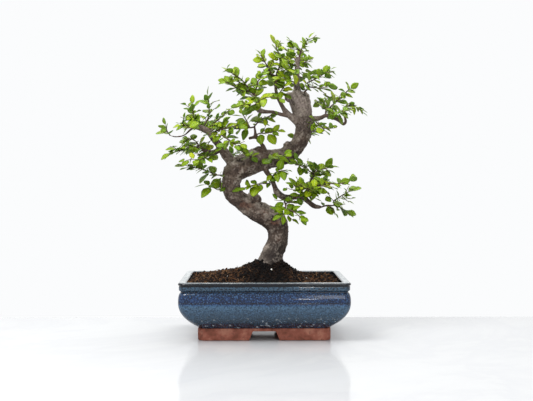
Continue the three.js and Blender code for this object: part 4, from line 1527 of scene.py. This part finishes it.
@dataclass
class Foliage:
    """All stems and leaves of the crown. Millimetres, and the middle in metres."""

    seed: int = 4
    shrink: float = 0.86
    apart: float = 4.2
    bare: float = 0.95
    side_apart: float = 9.0
    side_reach: tuple[float, float] = (10.0, 21.0)
    fuller: float = 0.62
    young_share: float = 0.16
    tint_spread: float = 0.17
    middle: Vector = field(default_factory=lambda: Vector((0.0, 0.0, 0.24)))
    shapes: tuple[LeafShape, ...] = (
        LeafShape(0.66, 0.95, 0.08, 0.14, 0.06),
        LeafShape(0.58, 0.88, 0.20, 0.22, 0.11),
        LeafShape(0.72, 1.02, 0.04, 0.10, 0.04),
        LeafShape(0.50, 0.86, 0.28, 0.30, 0.15),
        LeafShape(0.62, 0.97, 0.12, 0.18, -0.05),
    )
    shoots: list[Shoot] = field(default_factory=list)

    def read(self, frame: dict, wood: bpy.types.Object) -> None:
        """Reads every shoot's solid.

        Args:
            frame: the loaded frame.
            wood: the finished wood.
        """
        surface = BVHTree.FromPolygons(
            [v.co.copy() for v in wood.data.vertices],
            [tuple(p.vertices) for p in wood.data.polygons],
        )
        for name in sorted(frame["nodes"]):
            if name.startswith("shoot_"):
                self.shoots.append(Shoot(name).read(surface, frame["nodes"][name]))
        LOG.info("leaves read from the solids: %d", sum(len(s.seats) for s in self.shoots))

    def fill_out(self) -> None:
        """Chooses each leaf's look, with painted light that makes higher leaves lighter, and adds the
        small leaves between the large ones.
        """
        dice = random.Random(self.seed)
        low = min(seat.base.z for shoot in self.shoots for seat in shoot.seats)
        high = max(seat.base.z for shoot in self.shoots for seat in shoot.seats)
        for shoot in self.shoots:
            if not shoot.node.removeprefix("shoot_").startswith(OPEN):
                self.sprout(shoot, dice)
            shade = dice.uniform(-0.08, 0.08)
            for seat in shoot.seats:
                seat.length *= self.shrink
                seat.kind = dice.randrange(len(self.shapes))
            shoot.seats += self.small_leaves(shoot, dice)
            for seat in shoot.seats:
                # painted light: higher leaves get a lighter, yellower tint; the rest of the tint varies
                # at random by shoot and by leaf, and younger leaves get more
                height = (seat.base.z - low) / (high - low)
                young = 0.12 * (1 - seat.age)
                tint = dice.gauss(0.4 + 0.22 * height + shade + young, self.tint_spread)
                seat.tint = min(1.0, max(0.0, tint))

    def sprout(self, shoot: Shoot, dice: random.Random) -> None:
        """Adds short side twigs along a shoot's stems.

        Args:
            shoot: the shoot with its stems drawn.
            dice: the source of its chances.
        """
        for line, girths in list(shoot.stems):
            full = shoot.node.removeprefix("shoot_").startswith(FULL)
            apart = self.side_apart * (self.fuller if full else 1.0)
            far, side = dice.uniform(0.3, 0.9) * apart * MM, dice.choice((-1, 1))
            for i in range(1, len(line) - 1):
                far += (line[i] - line[i - 1]).length
                if far < apart * MM or girths[i] > 1.6 * MM:
                    continue
                far, side = 0.0, -side
                stem = (line[i + 1] - line[i - 1]).normalized()
                out = stem.cross(UP + Vector([dice.uniform(-0.5, 0.5) for _ in range(3)]))
                aim = out.normalized() * side * 0.9 + stem * dice.uniform(0.3, 0.8)
                aim = (aim + UP * dice.uniform(-0.25, 0.35)).normalized()
                reach = dice.uniform(*self.side_reach) * MM
                bend = Vector([dice.uniform(-0.2, 0.2) for _ in range(3)])
                knots = [line[i], line[i] + (aim + bend) * reach * 0.5, line[i] + aim * reach]
                smooth = catmull(knots, 2.0 * MM)
                rim_thin_glaze_and_reflection = [float(g) for g in np.linspace(0.52, 0.34, len(smooth)) * MM]
                shoot.stems.append((smooth, rim_thin_glaze_and_reflection))

    def small_leaves(self, shoot: Shoot, dice: random.Random) -> list[LeafSeat]:
        """Small leaves set alternately along a shoot's thin stems.

        Args:
            shoot: the shoot with its stems drawn.
            dice: the source of its chances.

        Returns:
            The new leaves' seats.
        """
        found = []
        for line, girths in shoot.stems:
            far, side = dice.uniform(0, self.apart) * MM, 1
            for i in range(1, len(line) - 1):
                far += (line[i] - line[i - 1]).length
                if far < self.apart * MM or girths[i] > self.bare * MM:
                    continue
                far, side = 0.0, -side
                stem = (line[i + 1] - line[i - 1]).normalized()
                outward = line[i] - self.middle
                outward = Vector((outward.x, outward.y * 1.6, 0)).normalized()
                lean = UP * 0.85 + outward * 0.6 + Vector([dice.uniform(-0.5, 0.5) for _ in range(3)])
                out = stem.cross(lean).normalized() * side
                along = out * dice.uniform(0.6, 1.0) + stem * dice.uniform(0.1, 0.9)
                along = (along + UP * dice.uniform(-0.25, 0.45)).normalized()
                face = (lean - along * lean.dot(along)).normalized()
                young = dice.random() < self.young_share
                length = (dice.uniform(4.5, 7.0) if young else dice.gauss(11.0, 1.8)) * MM
                age = dice.uniform(0.0, 0.6) if young else 1.0
                kind = dice.randrange(len(self.shapes))
                found.append(LeafSeat(line[i].copy(), along, face, length, 0.5, age, kind))
        return found

    def twigs(self) -> bpy.types.Object:
        """Builds all stems as one piece, round and tapering along their lines.

        Returns:
            The finished stems.
        """
        corners: list = []
        edges: list = []
        girths: list[float] = []
        fresh: list[float] = []
        for shoot in self.shoots:
            for line, radii in shoot.stems:
                base = len(corners)
                corners += line
                edges += [(base + i, base + i + 1) for i in range(len(line) - 1)]
                girths += radii
                fresh += [max(0.0, 1 - r / (0.75 * MM)) * 1.6 for r in radii]
        mesh = bpy.data.meshes.new("twigs")
        mesh.from_pydata([tuple(c) for c in corners], edges, [])
        mesh.attributes.new("thickness", "FLOAT", "POINT").data.foreach_set("value", girths)
        mesh.attributes.new("fresh", "FLOAT", "POINT").data.foreach_set("value", fresh)
        piece = bpy.data.objects.new("twigs", mesh)
        bpy.context.scene.collection.objects.link(piece)
        material = TWIG.build()
        tree, source, known = nodes_tree("stem_tubes", {"Sides": 6, "Girth": 1.0})
        curve = add(tree, "GeometryNodeMeshToCurve", {0: source.outputs["Geometry"]})
        width = add(tree, "GeometryNodeInputNamedAttribute", {0: "thickness"}, data_type="FLOAT")
        scaled = add(
            tree, "ShaderNodeMath", {0: width.outputs[0], 1: source.outputs["Girth"]},
            operation="MULTIPLY",
        )
        ring = add(
            tree, "GeometryNodeCurvePrimitiveCircle",
            {"Resolution": source.outputs["Sides"], "Radius": 1.0}, mode="RADIUS",
        )
        body = add(
            tree, "GeometryNodeCurveToMesh",
            {
                "Curve": curve.outputs[0], "Profile Curve": ring.outputs[0],
                "Scale": scaled.outputs[0], "Fill Caps": True,
            },
        )
        close_tree(tree, body.outputs[0], material)
        run_tree(piece, tree, known, {"Sides": 6, "Girth": 1.0})
        shade_smooth(piece)
        finished(piece, [shoot.node for shoot in self.shoots], material)
        return piece

    def leaves(self) -> list[bpy.types.Object]:
        """Scatters the leaves on their seats, one piece for each part of the crown.

        Returns:
            The finished pieces.
        """
        models = [shape.mesh(f"leaf_shape_{k}") for k, shape in enumerate(self.shapes)]
        store = shape_store("leaf_shapes", models)
        material = LEAF.build()
        tree, source, known = nodes_tree("leaf_scatter", {"Leaf Size": 1.0})
        kinds = add(
            tree, "GeometryNodeCollectionInfo",
            {"Collection": store, "Separate Children": True, "Reset Children": True},
        )
        turn = add(tree, "GeometryNodeInputNamedAttribute", {0: "turn"}, data_type="FLOAT_VECTOR")
        kind = add(tree, "GeometryNodeInputNamedAttribute", {0: "kind"}, data_type="INT")
        size = add(tree, "GeometryNodeInputNamedAttribute", {0: "size"}, data_type="FLOAT")
        turned = add(tree, "FunctionNodeEulerToRotation", {0: turn.outputs[0]})
        scaled = add(
            tree, "ShaderNodeMath", {0: size.outputs[0], 1: source.outputs["Leaf Size"]},
            operation="MULTIPLY",
        )
        placed = add(
            tree, "GeometryNodeInstanceOnPoints",
            {
                "Points": source.outputs["Geometry"], "Instance": kinds.outputs[0],
                "Pick Instance": True, "Instance Index": kind.outputs[0],
                "Rotation": turned.outputs[0], "Scale": scaled.outputs[0],
            },
        )
        close_tree(tree, placed.outputs[0], material)
        groups: dict[str, list[LeafSeat]] = {}
        nodes: dict[str, list[str]] = {}
        for shoot in self.shoots:
            part = next(pad for pad in PADS if shoot.node.startswith("shoot_" + pad))
            groups.setdefault(part, []).extend(shoot.seats)
            nodes.setdefault(part, []).append(shoot.node)
        pieces = []
        for part, seats in sorted(groups.items()):
            piece = mesh_object(f"leaves_{part}", [seat.base for seat in seats], [])
            fields = piece.data.attributes
            fields.new("turn", "FLOAT_VECTOR", "POINT").data.foreach_set(
                "vector", [v for seat in seats for v in seat.turn()]
            )
            fields.new("kind", "INT", "POINT").data.foreach_set("value", [s.kind for s in seats])
            for name in ("length", "tint", "age"):
                label = "size" if name == "length" else name
                fields.new(label, "FLOAT", "POINT").data.foreach_set(
                    "value", [getattr(s, name) for s in seats]
                )
            run_tree(piece, tree, known, {"Leaf Size": 1.0})
            shade_smooth(piece)
            finished(piece, nodes[part], material)
            pieces.append(piece)
        clear_store(store)
        return pieces


# ---------------------------------------------------------------- soil


@dataclass
class Scatter:
    """One sort of loose bit on the soil: how many, how large, and how it lies. Millimetres."""

    name: str
    per_cm2: float
    small: float
    large: float
    tilt: float
    seed: int


@dataclass
class Soil:
    """Mounded potting mix with crumbs, bark chips and root fibres. Millimetres."""

    seed: int = 12
    voxel: float = 1.5
    edge: float = 1.6
    shown_depth: float = 9.0
    crumbs: Scatter = field(default_factory=lambda: Scatter("soil_crumbs", 15, 0.8, 3.1, 3.1, 3))
    chips: Scatter = field(default_factory=lambda: Scatter("bark_chips", 6, 0.9, 3.1, 0.9, 8))
    fibres: Scatter = field(default_factory=lambda: Scatter("root_fibres", 3.6, 4.0, 15.0, 0.6, 5))
    perlite: tuple[tuple[float, float, float], ...] = (
        (9, -24, 1.5), (-44, -30, 0.9), (52, -21, 1.0), (-70, 12, 0.9), (30, 38, 1.2),
    )

    def bed(self, solid: bpy.types.Object, peat: bpy.types.Material) -> bpy.types.Object:
        """Builds the body of the soil from its solid, with a crumbly top.

        Args:
            solid: the packed soil.
            peat: its material.

        Returns:
            The finished bed.
        """
        places, triangles = welded(solid)
        piece = mesh_object("soil_bed", list(places), triangles.tolist())
        remesh = piece.modifiers.new("even_mesh", "REMESH")
        remesh.mode = "VOXEL"
        remesh.voxel_size = self.voxel * MM * 1.0
        apply_all(piece)
        mesh = piece.data
        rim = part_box("pot")[1].z
        shades = []
        for vertex in mesh.vertices:
            spot = vertex.co / MM
            rough = noise.noise(spot / 8) * 2.4 + noise.noise(spot / 3) * 2.0
            if vertex.co.z > rim - 12 * MM and vertex.normal.z > 0.3:
                vertex.co.z += (rough - 0.4) * MM
            shades.append(0.32 + 0.25 * noise.noise(spot / 3.3))
        mesh.attributes.new("shade", "FLOAT", "POINT").data.foreach_set("value", shades)
        shade_smooth(piece)
        finished(piece, ["soil"], peat)
        return piece

    def crumb(self, dice: random.Random) -> bpy.types.Object:
        """One lump of peat, of unit size.

        Args:
            dice: the source of its chances.

        Returns:
            The lump's temporary object.
        """
        corners, faces = ball(1.0, 1)
        for corner in corners:
            corner *= dice.uniform(0.6, 1.15)
            corner.z *= 0.75
        return mesh_object("crumb_shape", corners, faces)

    def chip(self, dice: random.Random) -> bpy.types.Object:
        """One flat splintered chip, a unit across.

        Args:
            dice: the source of its chances.

        Returns:
            The chip's temporary object.
        """
        long, wide, thick = dice.uniform(0.9, 1.5), dice.uniform(0.45, 0.8), dice.uniform(0.16, 0.3)
        outline = []
        for step in range(6):
            angle = math.tau * step / 6 + dice.uniform(-0.3, 0.3)
            outline.append((long * math.cos(angle), wide * math.sin(angle)))
        corners = [(x, y, -thick) for x, y in outline]
        corners += [
            (x * dice.uniform(0.7, 0.95), y * dice.uniform(0.7, 0.95), thick) for x, y in outline
        ]
        faces = [tuple(reversed(range(6))), tuple(range(6, 12))]
        faces += [(k, (k + 1) % 6, 6 + (k + 1) % 6, 6 + k) for k in range(6)]
        return mesh_object("chip_shape", corners, faces, False)

    def fibre(self, dice: random.Random) -> bpy.types.Object:
        """One thin bent root, a unit long.

        Args:
            dice: the source of its chances.

        Returns:
            The root's temporary object.
        """
        bend, rise = dice.uniform(-0.5, 0.5), dice.uniform(0.02, 0.14)
        line = [
            Vector((k / 4 - 0.5, bend * (k / 4 - 0.5) ** 2, rise * math.sin(math.pi * k / 4)))
            for k in range(5)
        ]
        corners, faces = tube(line, [0.02, 0.034, 0.036, 0.03, 0.014], 4, 0)
        return mesh_object("fibre_shape", corners, faces)

    def top(self, bed: bpy.types.Object) -> list[tuple[Vector, ...]]:
        """The bed's upward faces that lie clear of the pot's wall.

        Args:
            bed: the soil's finished bed.

        Returns:
            The corners of each face.
        """
        low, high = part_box("soil")
        room = self.edge * MM
        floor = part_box("pot")[1].z - self.shown_depth * MM
        found = []
        for face in bed.data.polygons:
            spot = face.center
            inside = low.x + room < spot.x < high.x - room and low.y + room < spot.y < high.y - room
            if inside and spot.z > floor and face.normal.z > 0.35:
                found.append(tuple(bed.data.vertices[k].co.copy() for k in face.vertices))
        return found

    def strew(
        self,
        bed: bpy.types.Object,
        sort: Scatter,
        models: list[bpy.types.Object],
        material: bpy.types.Material,
    ) -> bpy.types.Object:
        """Scatters one sort of bit over the bed.

        Args:
            bed: the soil's finished bed.
            sort: what to scatter.
            models: the shapes to choose from, which are used up.
            material: the bits' material.

        Returns:
            The finished piece.
        """
        corners: list = []
        faces = []
        for face in self.top(bed):
            faces.append(tuple(range(len(corners), len(corners) + len(face))))
            corners += face
        piece = mesh_object(sort.name, corners, faces)
        store = shape_store(sort.name + "_shapes", models)
        sizes = {
            "Density": sort.per_cm2 * 1e4 * 1.0,
            "Smallest": sort.small * MM, "Largest": sort.large * MM, "Tilt": sort.tilt,
            "Seed": sort.seed,
        }
        tree, source, known = nodes_tree(sort.name + "_scatter", sizes)
        given = source.outputs
        spread = add(
            tree, "GeometryNodeDistributePointsOnFaces",
            {"Mesh": given["Geometry"], "Density": given["Density"], "Seed": given["Seed"]},
            distribute_method="RANDOM",
        )
        shade = add(
            tree, "FunctionNodeRandomValue", {2: 0.0, 3: 1.0, "Seed": given["Seed"]},
            data_type="FLOAT",
        )
        marked = add(
            tree, "GeometryNodeStoreNamedAttribute",
            {"Geometry": spread.outputs["Points"], "Name": "shade", "Value": shade.outputs[1]},
            data_type="FLOAT", domain="POINT",
        )
        lean = add(tree, "ShaderNodeCombineXYZ", {0: given["Tilt"], 1: given["Tilt"], 2: math.pi})
        back = add(tree, "ShaderNodeVectorMath", {0: lean.outputs[0], 1: (-1, -1, -1)},
                   operation="MULTIPLY")
        turn = add(
            tree, "FunctionNodeRandomValue",
            {0: back.outputs[0], 1: lean.outputs[0], "Seed": given["Seed"]},
            data_type="FLOAT_VECTOR",
        )
        aim = add(
            tree, "FunctionNodeRotateRotation",
            {"Rotation": spread.outputs["Rotation"], "Rotate By": turn.outputs[0]},
            rotation_space="LOCAL",
        )
        chance = add(
            tree, "FunctionNodeRandomValue", {2: 0.0, 3: 1.0, "Seed": sort.seed + 1},
            data_type="FLOAT",
        )
        skew = add(tree, "ShaderNodeMath", {0: chance.outputs[1], 1: 2.2}, operation="POWER")
        size = add(
            tree, "ShaderNodeMapRange",
            {0: skew.outputs[0], 1: 0.0, 2: 1.0, 3: given["Smallest"], 4: given["Largest"]},
        )
        kinds = add(
            tree, "GeometryNodeCollectionInfo",
            {"Collection": store, "Separate Children": True, "Reset Children": True},
        )
        placed = add(
            tree, "GeometryNodeInstanceOnPoints",
            {
                "Points": marked.outputs[0], "Instance": kinds.outputs[0], "Pick Instance": True,
                "Rotation": aim.outputs[0], "Scale": size.outputs[0],
            },
        )
        close_tree(tree, placed.outputs[0], material)
        run_tree(piece, tree, known, sizes)
        clear_store(store)
        finished(piece, [], material)
        return piece

    def grains(self, bed: bpy.types.Object) -> bpy.types.Object:
        """Sets the few white grains on the bed.

        Args:
            bed: the soil's finished bed.

        Returns:
            The finished grains.
        """
        surface = BVHTree.FromPolygons(
            [v.co.copy() for v in bed.data.vertices], [tuple(p.vertices) for p in bed.data.polygons]
        )
        corners: list = []
        faces: list = []
        for x, y, size in self.perlite:
            spot = surface.ray_cast(Vector((x * MM, y * MM, 0.3)), -UP)[0]
            more, walls = ball(size * MM, 2)
            faces += [tuple(len(corners) + k for k in wall) for wall in walls]
            for corner in more:
                corner *= 1 + 0.25 * noise.noise(corner / (1.1 * MM) + Vector((x, y, 0)))
                corners.append(corner + spot + UP * size * 0.7 * MM)
        piece = mesh_object("perlite_grains", corners, faces)
        finished(piece, [], PERLITE.build())
        return piece

    def build(self, frame: dict) -> None:
        """Builds the soil and everything loose on it.

        Args:
            frame: the loaded frame.
        """
        dice = random.Random(self.seed)
        peat = MIX.build()
        bed = self.bed(frame["nodes"]["soil"], peat)
        self.strew(bed, self.crumbs, [self.crumb(dice) for _ in range(4)], peat)
        self.strew(bed, self.chips, [self.chip(dice) for _ in range(5)], CHIP.build())
        self.strew(bed, self.fibres, [self.fibre(dice) for _ in range(4)], ROOT.build())
        self.grains(bed)


# ---------------------------------------------------------------- stage


@dataclass
class Studio:
    """A pale polished table, soft lamps and the camera."""

    lens: float = 59.84
    place: tuple[float, float, float] = (-0.0124, -1.102, 0.1893)
    yaw: float = 0.81
    pitch: float = 1.23
    sky: float = 0.5
    table_side: float = 3.0
    table_back: float = 0.13

    def table(self) -> None:
        """Lays the table under the pot."""
        wide, near, far = self.table_side, -self.table_side, self.table_back
        top = mesh_object(
            "table", [(-wide, near, 0), (wide, near, 0), (wide, far, 0), (-wide, far, 0)],
            [(0, 1, 2, 3)],
        )
        top.data.materials.append(TABLE.build())

    def lamp(self, name: str, place: Vector, aim: Vector, size: float, power: float) -> None:
        """Hangs one soft square lamp.

        Args:
            name: the lamp's name.
            place: where it hangs.
            aim: the point that it faces.
            size: its side in metres.
            power: its power in watts.
        """
        light = bpy.data.lights.new(name, "AREA")
        light.shape, light.size, light.energy = "SQUARE", size, power
        holder = bpy.data.objects.new(name, light)
        holder.location = place
        holder.rotation_euler = (aim - place).to_track_quat("-Z", "Y").to_euler()
        bpy.context.scene.collection.objects.link(holder)

    def build(self) -> None:
        """Builds the stage, the lamps and the camera."""
        self.table()
        world = bpy.data.worlds.new("white_room")
        world.use_nodes = True
        tree = world.node_tree
        sky = tree.nodes["Background"]
        sky.inputs["Color"].default_value = linear("#fbfcfd")
        soft = add(tree, "ShaderNodeLightPath").outputs["Is Diffuse Ray"]
        strength = add(tree, "ShaderNodeMapRange", {0: soft, 3: 1.0, 4: self.sky}).outputs[0]
        tree.links.new(strength, sky.inputs["Strength"])
        bpy.context.scene.world = world
        middle = Vector((0, 0, 0.18))
        self.lamp("key", Vector((-0.6, -0.6, 1.15)), middle, 0.6, 17.0)
        self.lamp("top", Vector((0.15, 0.25, 1.3)), middle, 0.9, 14.0)
        self.lamp("front", Vector((0.5, -1.3, 0.55)), middle, 0.6, 4.0)
        self.lamp("window", Vector((0.181, -1.28, 0.19)), Vector((0.07, -0.075, 0.054)), 0.06, 0.25)
        camera = bpy.data.cameras.new("camera")
        camera.lens = self.lens
        camera.sensor_width = 36.0
        camera.clip_start = 0.01
        holder = bpy.data.objects.new("camera", camera)
        holder.location = self.place
        holder.rotation_euler = (math.radians(90 - self.pitch), 0, math.radians(-self.yaw))
        bpy.context.scene.collection.objects.link(holder)
        bpy.context.scene.camera = holder
        bpy.context.scene.view_settings.view_transform = "Standard"


def main() -> None:
    """Builds the plant in its pot, piece by piece."""
    logging.basicConfig(level=logging.INFO, format="%(message)s")
    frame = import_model()
    GlazedPot().build()
    wood = Wood().build()
    crown = Foliage()
    crown.read(frame, wood)
    crown.fill_out()
    crown.twigs()
    crown.leaves()
    Soil().build(frame)
    plastic = NET.build()
    for side in ("left", "right"):
        for place in frame["nodes"][f"drain_mesh_{side}"].material_slots:
            place.material = plastic
        LOG.info("drain_mesh_%s: dressed", side)
    Studio().build()


if __name__ == "__main__":
    main()
